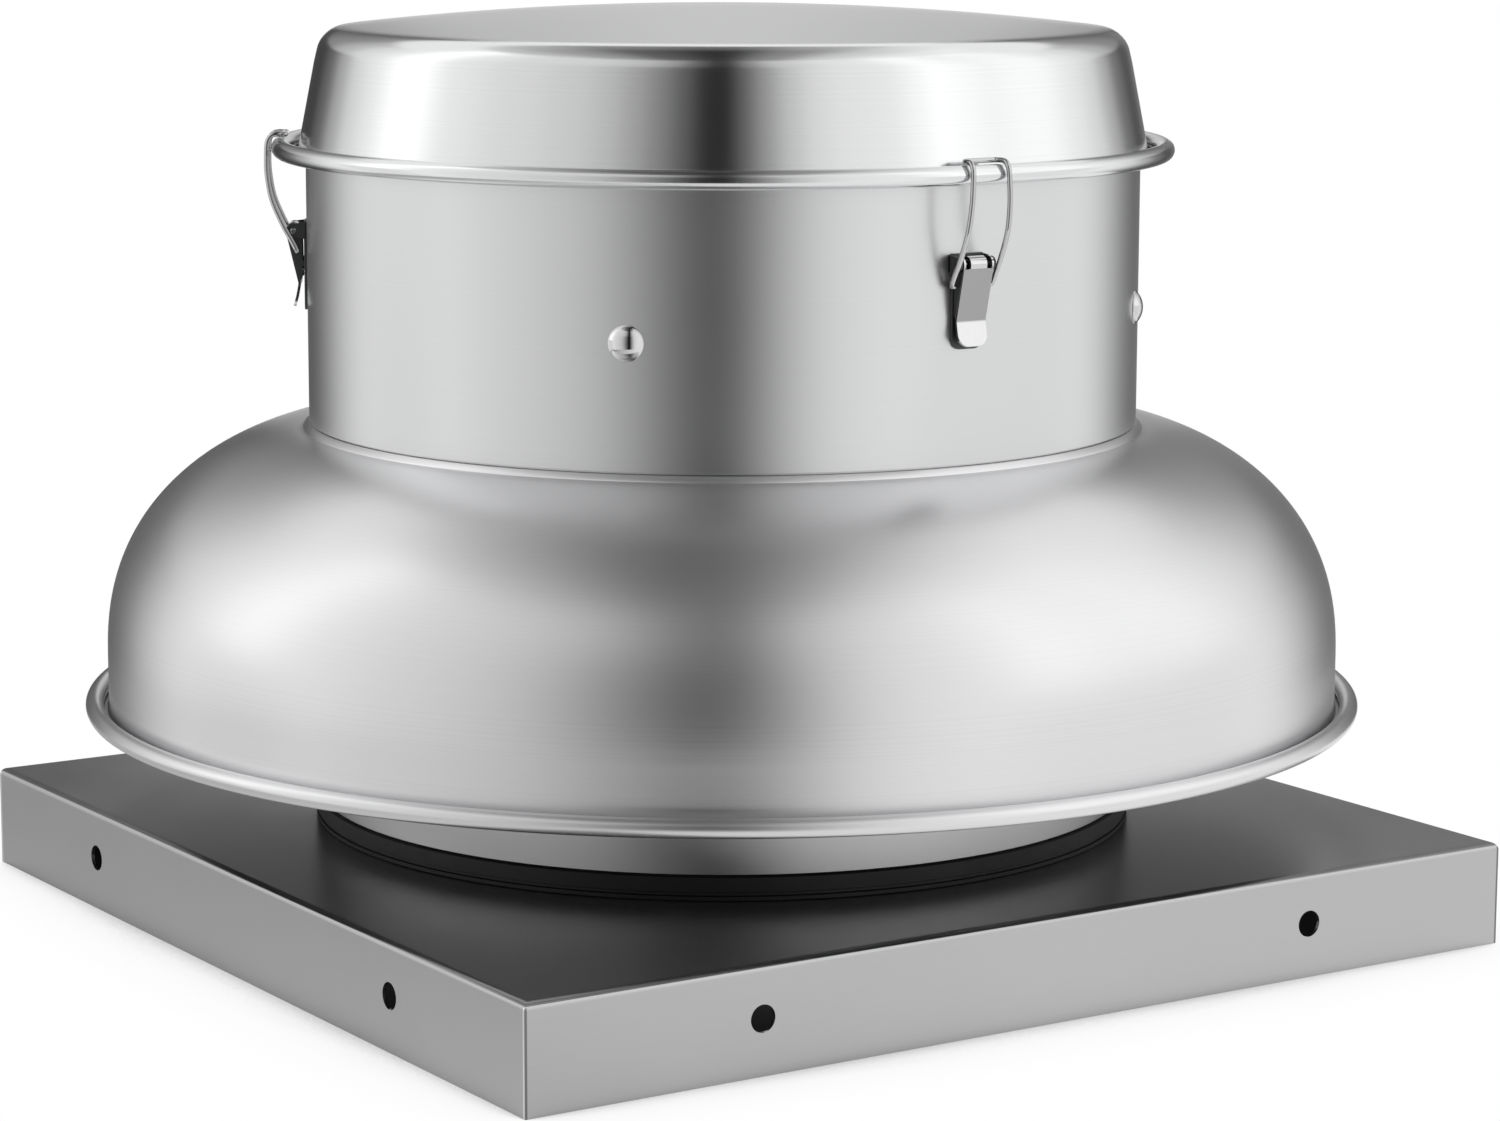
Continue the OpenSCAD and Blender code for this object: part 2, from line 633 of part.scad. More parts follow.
// Junction box on the pan, with its gland through the pan below
module junction_box() color(SHEET) translate([box_out, 0, pan_z + pan_t]) difference() {
    translate([-box_l / 2, -box_w / 2, 0]) cube([box_l, box_w, box_h]);
    translate([-box_l / 2 + box_t, -box_w / 2 + box_t, box_t])
        cube([box_l - 2 * box_t, box_w - 2 * box_t, box_h]);
    translate([0, 0, -cut]) cylinder(r = gland_d / 2 + hole_clear, h = box_t + 2 * cut);
}

module junction_cover() color(SHEET) translate([box_out, 0, pan_z + pan_t + box_h]) difference() {
    union() {
        translate([-box_l / 2, -box_w / 2, 0]) cube([box_l, box_w, box_t]);
        for (s = [-1, 1]) translate([-box_l / 2 + box_t + 0.2, s * (box_w / 2 - box_t - 0.2 - 2) - 2, -8])
            cube([box_l - 2 * box_t - 0.4, 4, 8]);
    }
    for (s = [-1, 1]) translate([s * box_l / 4, s * (box_w / 2 - box_t - 2.2), -7])
        cylinder(r = 1.25, h = box_t + 7 + cut);
}

module junction_screws() color(STEEL) translate([box_out, 0, pan_z + pan_t + box_h + box_t])
    for (s = [-1, 1]) translate([s * box_l / 4, s * (box_w / 2 - box_t - 2.2), 0]) {
        translate([0, 0, -box_t - 5]) cylinder(r = 1.25, h = box_t + 5);
        cylinder(r1 = 2.6, r2 = 1.6, h = 1.4);
    }

module cable_gland() color(RUBBER) translate([box_out, 0, pan_z]) difference() {
    union() {
        translate([0, 0, -gland_nut_h]) cylinder(d = 1.35 * gland_d, h = gland_nut_h, $fn = 6);
        translate([0, 0, -gland_nut_h - gland_dome_h])
            cylinder(r1 = 0.42 * gland_d, r2 = 0.55 * gland_d, h = gland_dome_h);
        cylinder(d = gland_d, h = gland_thread_h);
    }
    translate([0, 0, -gland_nut_h - gland_dome_h - cut])
        cylinder(r = 0.22 * gland_d, h = gland_nut_h + gland_dome_h + gland_thread_h + 2 * cut);
}

module cap_gasket() color(RUBBER) ring(band_r - seal_w, band_r, band_top, seal_h);

// Draw latch: base plate with two ears, riveted to the band
module latch_rivet_holes() for (s = [-1, 1]) translate([0, s * latch_rivet_y, latch_rivet_z])
    bar_x(latch_rivet_d / 2 + 0.05, neck_r - cut, band_r + base_t + cut);

module latch_base(k) color(STAINLESS) at_latch(k) difference() {
    base_angle = 2 * asin(base_w / 2 / band_r);
    union() {
        translate([0, 0, base_low]) rotate(-base_angle / 2) rotate_extrude(angle = base_angle)
            translate([band_r, 0]) square([base_t, base_high - base_low]);
        for (s = [-1, 1]) translate([0, s * (ear_in + ear_t / 2), 0]) rotate([90, 0, 0])
            translate([0, 0, -ear_t / 2]) linear_extrude(ear_t) {
                translate([hinge_x, hinge_z]) circle(r = lever_hub - 0.3);
                translate([band_r + base_t / 2, hinge_z - 3.6]) square([hinge_x - band_r - base_t / 2, 7.2]);
            }
    }
    translate([hinge_x, 0, hinge_z]) rotate([90, 0, 0]) translate([0, 0, -ear_out - cut])
        cylinder(r = hinge_r + 0.02, h = 2 * (ear_out + cut));
    latch_rivet_holes();
}

module latch_hinge_pins() color(STAINLESS) at_latches() translate([hinge_x, 0, hinge_z])
    rotate([90, 0, 0]) translate([0, 0, -ear_out]) cylinder(r = hinge_r, h = 2 * ear_out);

module latch_rivets() color(STAINLESS) at_latches() for (s = [-1, 1])
    translate([0, s * latch_rivet_y, latch_rivet_z]) {
        bar_x(latch_rivet_d / 2, neck_r - latch_rivet_head_h, band_r + base_t + latch_rivet_head_h);
        bar_x(latch_rivet_head, band_r + base_t + 0.05, band_r + base_t + 0.05 + latch_rivet_head_h);
        bar_x(latch_rivet_head, neck_r - 0.15 - latch_rivet_head_h, neck_r - 0.15);
    }

// Lever: pressed channel on the hinge pin, with a lip at its lower end
module lever_cheek() difference() {
    union() {
        translate([hinge_x, hinge_z]) circle(r = lever_hub);
        translate([bail_x, bail_z]) circle(r = wire_r + 0.85);
        polygon([
            [hinge_x - lever_hub, hinge_z],
            [hinge_x + lever_hub - lever_t / 2, hinge_z],
            [lip_x + 3.2, bail_z - 1],
            [bail_x, bail_z - wire_r - 0.85],
            [bail_x - wire_r - 0.85, bail_z]
        ]);
    }
    translate([hinge_x, hinge_z]) circle(r = hinge_r + 0.06);
    translate([bail_x, bail_z]) circle(r = wire_r + 0.06);
}

module lever_web() {
    low = hinge_z - lever_len;
    strip([
        [hinge_x + lever_hub - lever_t / 2, hinge_z],
        [lip_x, low + 6],
        [lip_x, low + 3],
        [lip_x + 2, low]
    ], lever_t);
    intersection() {
        translate([hinge_x, hinge_z]) difference() {
            circle(r = lever_hub);
            circle(r = lever_hub - lever_t);
        }
        translate([hinge_x, hinge_z]) square(lever_hub + cut);
    }
}

module latch_lever(k) color(STAINLESS) at_latch(k) rotate([90, 0, 0]) {
    translate([0, 0, -lever_w / 2]) linear_extrude(lever_w) lever_web();
    for (s = [-1, 1]) translate([0, 0, s * (lever_w - 1) / 2 - 0.5]) linear_extrude(1) lever_cheek();
}

// A round wire along a path of points, a little fuller at its bends
module bent_wire(path, r) {
    for (i = [0:len(path) - 2]) {
        step = path[i + 1] - path[i];
        translate(path[i]) rotate([0, acos(step[2] / norm(step)), atan2(step[1], step[0])])
            cylinder(r = r, h = norm(step));
    }
    for (i = [1:len(path) - 2]) translate(path[i]) sphere(r = r * bend_swell);
}

// Bail: bent wire from the lever's cheeks up and over the cap's rolled rim
module latch_bail(k) color(STAINLESS) at_latch(k) {
    leg = [
        [bail_x, lever_w / 2 - 1.8, bail_z],
        [bail_x, leg_y, bail_z],
        [hinge_x + 2.5, leg_y, hinge_z + 7],
        [leg_x, leg_y, cap_rim_z - 4],
        [leg_x, leg_y, hook_z],
        [hook_x, leg_y, hook_z]
    ];
    bent_wire(concat(leg, reversed([for (p = leg) [p[0], -p[1], p[2]]])), wire_r);
}

// Cap: spun cover with a crowned top, leaning wall and rolled rim
function crown(t) = [for (k = [0:7])
    let (r = crease_r * k / 8)
    [r, crease_z - t + crown_h - crown_r + sqrt(crown_r * crown_r - r * r)]];

function cap_shoulder(t) = [for (k = [0:6])
    let (a = (90 - crease_angle) + (cap_taper - 90 + crease_angle) * k / 6)
    [crease_r - cap_shoulder_r * sin(crease_angle) + (cap_shoulder_r - t) * cos(a),
     crease_z - cap_shoulder_r * cos(crease_angle) + (cap_shoulder_r - t) * sin(a)]];

module cap() color(SHEET) {
    low = cap_rim_z - cap_bead_r;
    rotate_extrude() polygon(concat(
        crown(0),
        cap_shoulder(0),
        [[cap_wall_r(low + cap_t), low + cap_t]],
        curl([cap_bead_c, cap_rim_z], cap_bead_r, cap_t),
        [[cap_wall_r(low) - cap_wall_t, low]],
        reversed(cap_shoulder(cap_t)),
        reversed(crown(cap_t))
    ));
}

// Turning parts on the motor shaft
module motor_shaft() color("lightgray") translate([0, 0, shaft_low])
    cylinder(r = shaft_r, h = bearing_high_z + bearing_w - 1 - shaft_low);

module motor_rotor() color(STEEL) ring(shaft_r, rotor_r, core_z, core_h);

module wheel_hub() color("gray") difference() {
    union() {
        translate([0, 0, shaft_low]) cylinder(d = hub_d, h = hub_len);
        translate([0, 0, backplate_z - hub_flange_t]) cylinder(d = hub_flange_d, h = hub_flange_t);
    }
    translate([0, 0, shaft_low - cut]) cylinder(r = shaft_r, h = hub_len + 2 * cut);
    translate([0, 0, shaft_low + hub_len * 0.37]) bar_x(set_screw_d / 2, 0, hub_d);
    at_hub_rivets() translate([0, 0, backplate_z - hub_flange_t - cut])
        cylinder(r = rivet_d / 2 + hole_clear, h = hub_flange_t + 2 * cut);
}

module hub_set_screw() color(STEEL) translate([0, 0, shaft_low + hub_len * 0.37])
    difference() {
        bar_x(set_screw_d / 2 - 0.02, shaft_r + 0.05, hub_d / 2 + 1);
        translate([hub_d / 2 - 2, 0, 0]) rotate([0, 90, 0]) cylinder(d = set_screw_d / 2, h = 4, $fn = 6);
    }

module hub_rivets() color(SHEET) at_hub_rivets() sheet_rivet(backplate_z - hub_flange_t, backplate_z + backplate_t);

module wheel_backplate() color(SHEET) difference() {
    ring(shaft_r + 1, wheel_r, backplate_z, backplate_t);
    at_hub_rivets() translate([0, 0, backplate_z - cut])
        cylinder(r = rivet_d / 2 + hole_clear, h = backplate_t + 2 * cut);
}

module wheel_shroud() color(SHEET) rotate_extrude() strip(shroud_path, wheel_t);

// Backward-inclined blade: an arc in plan, trimmed to the shroud below and the backplate above
blade_in_r = blade_in_d / 2;
blade_tip_r = wheel_r - 1;
arc_r = (blade_tip_r * blade_tip_r - blade_in_r * blade_in_r)
    / (2 * (blade_tip_r * cos(blade_out_angle) - blade_in_r * cos(blade_in_angle)));
arc_c = sqrt(blade_in_r * blade_in_r + arc_r * arc_r - 2 * blade_in_r * arc_r * cos(blade_in_angle));

module wheel_blade(k) color(SHEET) rotate(k * 360 / blade_count) difference() {
    intersection() {
        linear_extrude(backplate_z) intersection() {
            translate([arc_c, 0]) difference() {
                circle(r = arc_r);
                circle(r = arc_r - blade_t);
            }
            difference() {
                circle(r = blade_tip_r);
                circle(r = blade_in_r);
            }
            translate([-wheel_d, 0]) square(wheel_d);
        }
        rotate_extrude() polygon(concat(
            [for (p = shroud_path) p],
            [[wheel_r, backplate_z], [1, backplate_z], [1, shroud_path[1][1]], [eye_r, shroud_path[1][1]]]
        ));
    }
    wheel_shroud();
}

curb_cap();
collar_gasket();
inlet_collar();
collar_rivets();
inlet_venturi();
venturi_rivets();
for (k = [1:strap_count]) support_strap(k);
foot_bolts();
bell_housing();
motor_band();
motor_pan();
band_bolts();
hex_nuts();
shaft_seal();
motor_isolators();
motor_bolts();
motor_base();
motor_shell();
motor_top_cover();
motor_tie_rods();
bearing_lower();
bearing_upper();
motor_stator();
junction_box();
junction_cover();
junction_screws();
cable_gland();
cap_gasket();
for (k = [1:latch_count]) latch_base(k);
latch_hinge_pins();
latch_rivets();
motor_shaft();
motor_rotor();
wheel_hub();
hub_set_screw();
hub_rivets();
wheel_backplate();
wheel_shroud();
for (k = [1:blade_count]) wheel_blade(k);
for (k = [1:latch_count]) latch_lever(k);
for (k = [1:latch_count]) latch_bail(k);
cap();
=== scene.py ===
import math

import bmesh
import bpy
from mathutils import Matrix, Vector, geometry


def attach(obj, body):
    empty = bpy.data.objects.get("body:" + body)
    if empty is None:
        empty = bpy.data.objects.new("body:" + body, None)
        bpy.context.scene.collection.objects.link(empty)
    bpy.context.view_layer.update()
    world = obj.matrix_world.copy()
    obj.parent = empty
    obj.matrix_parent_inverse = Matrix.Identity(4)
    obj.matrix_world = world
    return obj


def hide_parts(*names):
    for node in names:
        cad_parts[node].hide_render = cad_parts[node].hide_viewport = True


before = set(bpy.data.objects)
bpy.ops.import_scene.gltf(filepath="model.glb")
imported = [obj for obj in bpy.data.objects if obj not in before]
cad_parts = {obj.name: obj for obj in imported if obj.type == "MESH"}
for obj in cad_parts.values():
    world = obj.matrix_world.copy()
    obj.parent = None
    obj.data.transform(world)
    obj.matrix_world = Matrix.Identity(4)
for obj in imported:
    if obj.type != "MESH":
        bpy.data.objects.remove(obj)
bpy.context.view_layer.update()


# Camera
# A long lens looks at the nearest corner of the curb cap from just above the fan,
# turned a little so that the side with the draw latch shows more than the other.
def add_object(name, data):
    """Puts a new object with its mesh, camera or lamp into the scene."""
    made = bpy.data.objects.new(name, data)
    bpy.context.collection.objects.link(made)
    return made


view_direction = math.radians(-32.7)
camera_distance = 1.8665
camera_height = 0.4687
camera_pitch = 0.1669
camera_yaw = 0.0065
camera_roll = 0.003
sensor_width = 36.0
focal_length_in_pixels = 4290
picture_width = 1500

camera_data = bpy.data.cameras.new("camera")
camera_data.sensor_fit = "HORIZONTAL"
camera_data.sensor_width = sensor_width
camera_data.lens = sensor_width * focal_length_in_pixels / picture_width
camera = add_object("camera", camera_data)
round_the_fan = Matrix.Rotation(view_direction, 3, "Z")
forward = round_the_fan @ Vector((
    math.sin(camera_yaw) * math.cos(camera_pitch),
    math.cos(camera_yaw) * math.cos(camera_pitch),
    -math.sin(camera_pitch),
))
level_right = forward.cross(Vector((0, 0, 1))).normalized()
level_up = level_right.cross(forward)
right = math.cos(camera_roll) * level_right + math.sin(camera_roll) * level_up
up = math.cos(camera_roll) * level_up - math.sin(camera_roll) * level_right
camera_place = round_the_fan @ Vector((0, -camera_distance, camera_height))
camera.matrix_world = Matrix.Translation(camera_place) @ Matrix((
    (right.x, up.x, -forward.x),
    (right.y, up.y, -forward.y),
    (right.z, up.z, -forward.z),
)).to_4x4()
bpy.context.scene.camera = camera
bpy.context.scene.view_settings.view_transform = "Standard"


# Studio
# The fan stands on white paper in a white room. Curved cards out of the picture, black at front and back
# and paling to white, put the dark bands on the metal, with a grey card overhead. Side cards a little
# brighter than white give the brightest bands, and a faint soft box stands at each side.
def add_node(tree, kind, settings=None, links=None):
    """Adds a node; settings are properties or input values, links are output sockets by input name."""
    made = tree.nodes.new(kind)
    for name, value in (settings or {}).items():
        if isinstance(name, str) and hasattr(made, name):
            setattr(made, name, value)
        else:
            made.inputs[name].default_value = value
    for name, socket in (links or {}).items():
        tree.links.new(socket, made.inputs[name])
    return made


def new_material(name):
    """An empty material, and the node tree to fill in."""
    material = bpy.data.materials.new(name)
    material.use_nodes = True
    material.node_tree.nodes.clear()
    return material, material.node_tree


def mesh_from(shape, name):
    """A mesh from a bmesh, which is used up."""
    mesh = bpy.data.meshes.new(name)
    shape.to_mesh(mesh)
    shape.free()
    return mesh


def linear(code):
    """An sRGB hex colour as linear red, green, blue and alpha."""
    def channel(v):
        return v / 12.92 if v <= 0.04045 else ((v + 0.055) / 1.055) ** 2.4
    return tuple(channel(int(code[k:k + 2], 16) / 255) for k in (0, 2, 4)) + (1.0,)


def set_ramp(ramp_node, stops):
    """Sets a colour ramp's stops from (position, grey level) pairs."""
    ramp = ramp_node.color_ramp
    ramp.interpolation = "EASE"
    while len(ramp.elements) < len(stops):
        ramp.elements.new(0.5)
    for element, (place, level) in zip(ramp.elements, stops):
        element.position = place
        element.color = (level, level, level, 1.0)


world = bpy.data.worlds.new("white_room")
bpy.context.scene.world = world
world.use_nodes = True
room = world.node_tree
room.nodes.clear()
white_air = add_node(room, "ShaderNodeBackground", {"Color": (1, 1, 1, 1), "Strength": 1.0})
add_node(room, "ShaderNodeOutputWorld", None, {"Surface": white_air.outputs[0]})


def round_the_room(turn, distance, height):
    """A place in the studio, from its turn in degrees away from the camera's side of the fan."""
    return round_the_fan @ Vector((distance * math.sin(math.radians(turn)),
                                   -distance * math.cos(math.radians(turn)), height))


def hang_card(name, start, end, foot, top, shades, distance=3.2, columns=40):
    """A curved card between two turns in degrees and two heights, shaded by (turn, grey level) pairs."""
    shape = bmesh.new()
    across = shape.verts.layers.float.new("across")
    edges = []
    for k in range(columns + 1):
        pair = []
        for height in (foot, top):
            corner = shape.verts.new(round_the_room(start + (end - start) * k / columns, distance, height))
            corner[across] = k / columns
            pair.append(corner)
        edges.append(pair)
    for one, other in zip(edges, edges[1:]):
        shape.faces.new((one[0], other[0], other[1], one[1]))
    card = add_object(name, mesh_from(shape, name))
    card.visible_camera = False
    paint, tree = new_material(name + "_shades")
    share = add_node(tree, "ShaderNodeAttribute", {"attribute_name": "across"})
    shade = add_node(tree, "ShaderNodeValToRGB", None, {0: share.outputs["Fac"]})
    set_ramp(shade, [((turn - start) / (end - start), level) for turn, level in shades])
    glow = add_node(tree, "ShaderNodeEmission", None, {"Color": shade.outputs[0]})
    add_node(tree, "ShaderNodeOutputMaterial", None, {"Surface": glow.outputs[0]})
    card.data.materials.append(paint)


card_foot = -1.6
front_split = 2.1
side_split = 0.45
back_split = 0.9
hang_card("front_card_low", -80, 46, card_foot, front_split, [
    (-80, 1.0), (-58, 0.84), (-40, 0.72), (-31, 0.6), (-24, 0.44), (-17, 0.27), (-11, 0.13), (-5, 0.02),
    (1, 0.01), (6, 0.14), (11, 0.36), (18, 0.66), (25, 0.86), (33, 0.95), (46, 1.0)])
hang_card("front_card_high", -80, 46, front_split, 5.0, [
    (-80, 1.0), (-58, 0.84), (-40, 0.78), (-24, 0.62), (-16, 0.42), (-8, 0.14), (-2, 0.02), (2, 0.03),
    (8, 0.3), (16, 0.66), (24, 0.8), (33, 0.95), (46, 1.0)])
hang_card("side_card_left_high", -80, -110, side_split, 4.6, [
    (-80, 1.0), (-85, 1.14), (-91, 1.36), (-98, 1.4), (-104, 1.2), (-110, 1.0)])
hang_card("side_card_right_high", 46, 110, side_split, 4.6, [
    (46, 1.0), (53, 1.16), (60, 1.28), (68, 1.2), (77, 1.12), (88, 1.18), (98, 1.18), (110, 1.0)])
hang_card("side_card_left_low", -80, -110, card_foot, side_split, [
    (-80, 1.0), (-86, 0.88), (-104, 0.88), (-110, 1.0)])
hang_card("side_card_right_low", 46, 110, card_foot, side_split, [
    (46, 1.0), (58, 0.9), (98, 0.9), (110, 1.0)])
hang_card("back_card_left_low", -110, -168, card_foot, back_split, [
    (-110, 1.0), (-120, 0.8), (-129, 0.46), (-139, 0.14), (-150, 0.05), (-168, 0.06)])
hang_card("back_card_right_low", 110, 168, card_foot, back_split, [
    (110, 1.0), (120, 0.82), (129, 0.5), (139, 0.18), (150, 0.08), (168, 0.22)])
for side, way in (("left", -1), ("right", 1)):
    hang_card(f"back_card_{side}_high", 110 * way, 168 * way, back_split, 2.6, [
        (110 * way, 1.0), (122 * way, 0.85), (135 * way, 0.55), (150 * way, 0.28), (168 * way, 0.14)])
hang_card("back_card_high", 168, 192, 0.45, 1.9, [
    (168, 0.1), (174, 0.55), (180, 0.62), (186, 0.55), (192, 0.1)])

overhead_radius = 2.25
overhead_height = 3.4
overhead_shape = bmesh.new()
bmesh.ops.create_circle(overhead_shape, cap_ends=True, segments=64, radius=overhead_radius)
overhead = add_object("overhead_card", mesh_from(overhead_shape, "overhead_card"))
overhead.location = (0, 0, overhead_height)
overhead.visible_camera = False
overhead_paint, tree = new_material("overhead_card_grey")
place = add_node(tree, "ShaderNodeTexCoord").outputs["Object"]


def share_along(tree, place, direction, start, end, low=0.0, high=1.0):
    """A value that goes from low to high while a place goes from start to end along a studio direction."""
    along = add_node(tree, "ShaderNodeVectorMath", {
        "operation": "DOT_PRODUCT", 1: round_the_fan @ Vector(direction)}, {0: place})
    ramp = add_node(tree, "ShaderNodeMapRange", {
        "From Min": start, "From Max": end, "To Min": low, "To Max": high}, {"Value": along.outputs["Value"]})
    return ramp.outputs[0]


to_the_right = (1, 0, 0)
to_the_back = (0, 1, 0)
side_shade = add_node(tree, "ShaderNodeValToRGB", None, {
    0: share_along(tree, place, to_the_right, -overhead_radius, overhead_radius)})
set_ramp(side_shade, [
    (0.0, 0.7), (0.08, 0.6), (0.22, 0.38), (0.36, 0.12), (0.5, 0.02), (0.62, 0.3), (0.78, 0.76), (0.92, 1.0),
    (1.0, 1.0)])
paler_back = (0.16, 0.16, 0.16, 1)
shade = add_node(tree, "ShaderNodeMix", {"data_type": "RGBA", "blend_type": "ADD", 7: paler_back}, {
    0: share_along(tree, place, to_the_back, 0.2, 1.4), 6: side_shade.outputs[0]})
overhead_glow = add_node(tree, "ShaderNodeEmission", None, {"Color": shade.outputs[2]})
add_node(tree, "ShaderNodeOutputMaterial", None, {"Surface": overhead_glow.outputs[0]})
overhead.data.materials.append(overhead_paint)

soft_box_distance = 2.7
soft_box_height = 1.1
soft_box_upright = 1.2
watts_per_metre_of_width = 0.12
lit_middle = Vector((0, 0, 0.2))
for turn, width in ((-92, 0.9), (78, 2.0)):
    soft_box = bpy.data.lights.new("soft_box", "AREA")
    soft_box.shape = "RECTANGLE"
    soft_box.size = width
    soft_box.size_y = soft_box_upright
    soft_box.energy = watts_per_metre_of_width * width
    lamp = add_object("soft_box", soft_box)
    lamp.location = round_the_room(turn, soft_box_distance, soft_box_height)
    lamp.rotation_euler = (lit_middle - lamp.location).to_track_quat("-Z", "Y").to_euler()
    lamp.visible_camera = False

# White paper to the camera and in the metal, with a painted shadow close to the curb cap and, in the metal,
# painted shade that darkens it towards the left; plain pale grey to other light
floor_radius = 0.62
painted_shadow_reach = 0.1
floor_shape = bmesh.new()
bmesh.ops.create_circle(floor_shape, cap_ends=True, segments=96, radius=floor_radius)
floor = add_object("floor", mesh_from(floor_shape, "floor"))
floor_material, tree = new_material("pale_sweep")
# Painted shadow: ambient occlusion darkens the paper's glow near the fan
near_object = add_node(tree, "ShaderNodeAmbientOcclusion", {"samples": 16, "Distance": painted_shadow_reach})
painted_contact_shadow = add_node(tree, "ShaderNodeValToRGB", None, {0: near_object.outputs["AO"]})
set_ramp(painted_contact_shadow, [(0.0, 0.0), (0.3, 0.02), (0.48, 0.6), (0.6, 0.95), (0.9, 1.0)])
white_paper = add_node(tree, "ShaderNodeEmission", None, {"Color": painted_contact_shadow.outputs[0]})
grey_paper = add_node(tree, "ShaderNodeBsdfDiffuse", {"Color": linear("E2E2E2")})
floor_place = add_node(tree, "ShaderNodeTexCoord").outputs["Object"]
# Painted shade: seen in the metal, the paper glows less towards the left
painted_falloff_brighter_right = share_along(tree, floor_place, to_the_right, -0.5, 0.2, low=0.43, high=0.95)
seen_by = add_node(tree, "ShaderNodeLightPath").outputs
strength = add_node(tree, "ShaderNodeMix", {"data_type": "FLOAT", 2: 1.0}, {
    0: seen_by["Is Glossy Ray"], 3: painted_falloff_brighter_right})
tree.links.new(strength.outputs[0], white_paper.inputs["Strength"])
seen_in_metal = add_node(tree, "ShaderNodeMath", {"operation": "MAXIMUM"}, {
    0: seen_by["Is Camera Ray"], 1: seen_by["Is Glossy Ray"]})
seen_at_all = add_node(tree, "ShaderNodeMath", {"operation": "MAXIMUM"}, {
    0: seen_in_metal.outputs[0], 1: seen_by["Is Transmission Ray"]})
paper = add_node(tree, "ShaderNodeMixShader", None, {
    0: seen_at_all.outputs[0], 1: grey_paper.outputs[0], 2: white_paper.outputs[0]})
add_node(tree, "ShaderNodeOutputMaterial", None, {"Surface": paper.outputs[0]})
floor.data.materials.append(floor_material)


# Curb cap
# One sheet of mill-finish aluminium, folded down on four sides and closed by a seam at each corner.
# The bends catch a thin bright line, and the flange holes are punched clean.
def smooth(mesh, crease):
    """Makes a mesh smooth, but for edges that turn by more than so many degrees."""
    mesh.shade_smooth()
    mesh.set_sharp_from_angle(angle=math.radians(crease))


def merged_copy(node_name, piece_name, crease=30):
    """A copy of a CAD node with its loose triangles merged and its round faces smooth."""
    shape = bmesh.new()
    shape.from_mesh(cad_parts[node_name].data)
    bmesh.ops.remove_doubles(shape, verts=shape.verts, dist=2e-6)
    mesh = mesh_from(shape, piece_name)
    mesh.materials.clear()
    smooth(mesh, crease)
    piece = add_object(piece_name, mesh)
    flat_faces_first = piece.modifiers.new("flat_faces_stay_flat", "WEIGHTED_NORMAL")
    flat_faces_first.weight = 100
    flat_faces_first.keep_sharp = True
    return piece


def finish_piece(piece, material, body, slot, *nodes):
    """Gives a piece its material, hangs it on its body and hides the CAD nodes that it stands for; slot is
    not used.
    """
    piece.data.materials.clear()
    piece.data.materials.append(material)
    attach(piece, body)
    if nodes:
        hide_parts(*nodes)


bare_metal = {"Metallic": 1.0}


def grained(name, dark, light, roughness, grain, relief, shader):
    """A finish with soft clouds and a fine grain in its colour and roughness, where the grain also lifts the
    surface. grain says how often it repeats in a metre along X, Y and Z, and relief how much it is lifted."""
    material, tree = new_material(name)
    place = add_node(tree, "ShaderNodeTexCoord").outputs["Object"]
    drawn_out = add_node(tree, "ShaderNodeMapping", {"Scale": grain}, {0: place})
    fine = add_node(tree, "ShaderNodeTexNoise", {"Scale": 1.0, "Detail": 3.0}, {
        "Vector": drawn_out.outputs[0]}).outputs["Fac"]
    clouds = add_node(tree, "ShaderNodeTexNoise", {"Scale": 14.0, "Detail": 4.0}, {
        "Vector": place}).outputs["Fac"]
    share = add_node(tree, "ShaderNodeMix", {"data_type": "FLOAT", 0: 0.4}, {2: clouds, 3: fine}).outputs[0]
    tone = add_node(tree, "ShaderNodeMix", {"data_type": "RGBA", 6: linear(dark), 7: linear(light)}, {
        0: share})
    shine = add_node(tree, "ShaderNodeMapRange", {
        "From Min": 0.3, "From Max": 0.7, "To Min": roughness[0], "To Max": roughness[1]}, {"Value": share})
    bump = add_node(tree, "ShaderNodeBump", {"Strength": relief, "Distance": 0.0002}, {"Height": fine})
    surface = add_node(tree, "ShaderNodeBsdfPrincipled", shader, {
        "Base Color": tone.outputs[2], "Roughness": shine.outputs[0], "Normal": bump.outputs[0]})
    add_node(tree, "ShaderNodeOutputMaterial", None, {"Surface": surface.outputs[0]})
    return material


# Mill-finish aluminium sheet: rolled, so its grain runs one way and the eye sees a soft, even grey
mill_sheet = grained("mill_finish_aluminium", dark="B8B8B8", light="C3C3C3", roughness=(0.28, 0.36),
                     grain=(40, 1400, 1400), relief=0.05, shader=bare_metal)
# Painted light at the corner seams: a dark line of painted shade on one flange and a bright line of painted
# highlight on the other
curb_half = 0.2413
curb_sheet = mill_sheet.copy()
curb_sheet.name = "mill_finish_curb_cap"
tree = curb_sheet.node_tree
from_middle = add_node(tree, "ShaderNodeVectorMath", {"operation": "ABSOLUTE"}, {
    0: add_node(tree, "ShaderNodeTexCoord").outputs["Object"]})
sides = add_node(tree, "ShaderNodeSeparateXYZ", None, {0: from_middle.outputs["Vector"]})


def corner_strip(along_x, along_y):
    """A mask of the strip at each corner that reaches so far along X and along Y, in metres."""
    near_x = add_node(tree, "ShaderNodeMath", {"operation": "GREATER_THAN", 1: curb_half - along_x}, {
        0: sides.outputs["X"]})
    near_y = add_node(tree, "ShaderNodeMath", {"operation": "GREATER_THAN", 1: curb_half - along_y}, {
        0: sides.outputs["Y"]})
    return add_node(tree, "ShaderNodeMath", {"operation": "MULTIPLY"}, {
        0: near_x.outputs[0], 1: near_y.outputs[0]}).outputs[0]


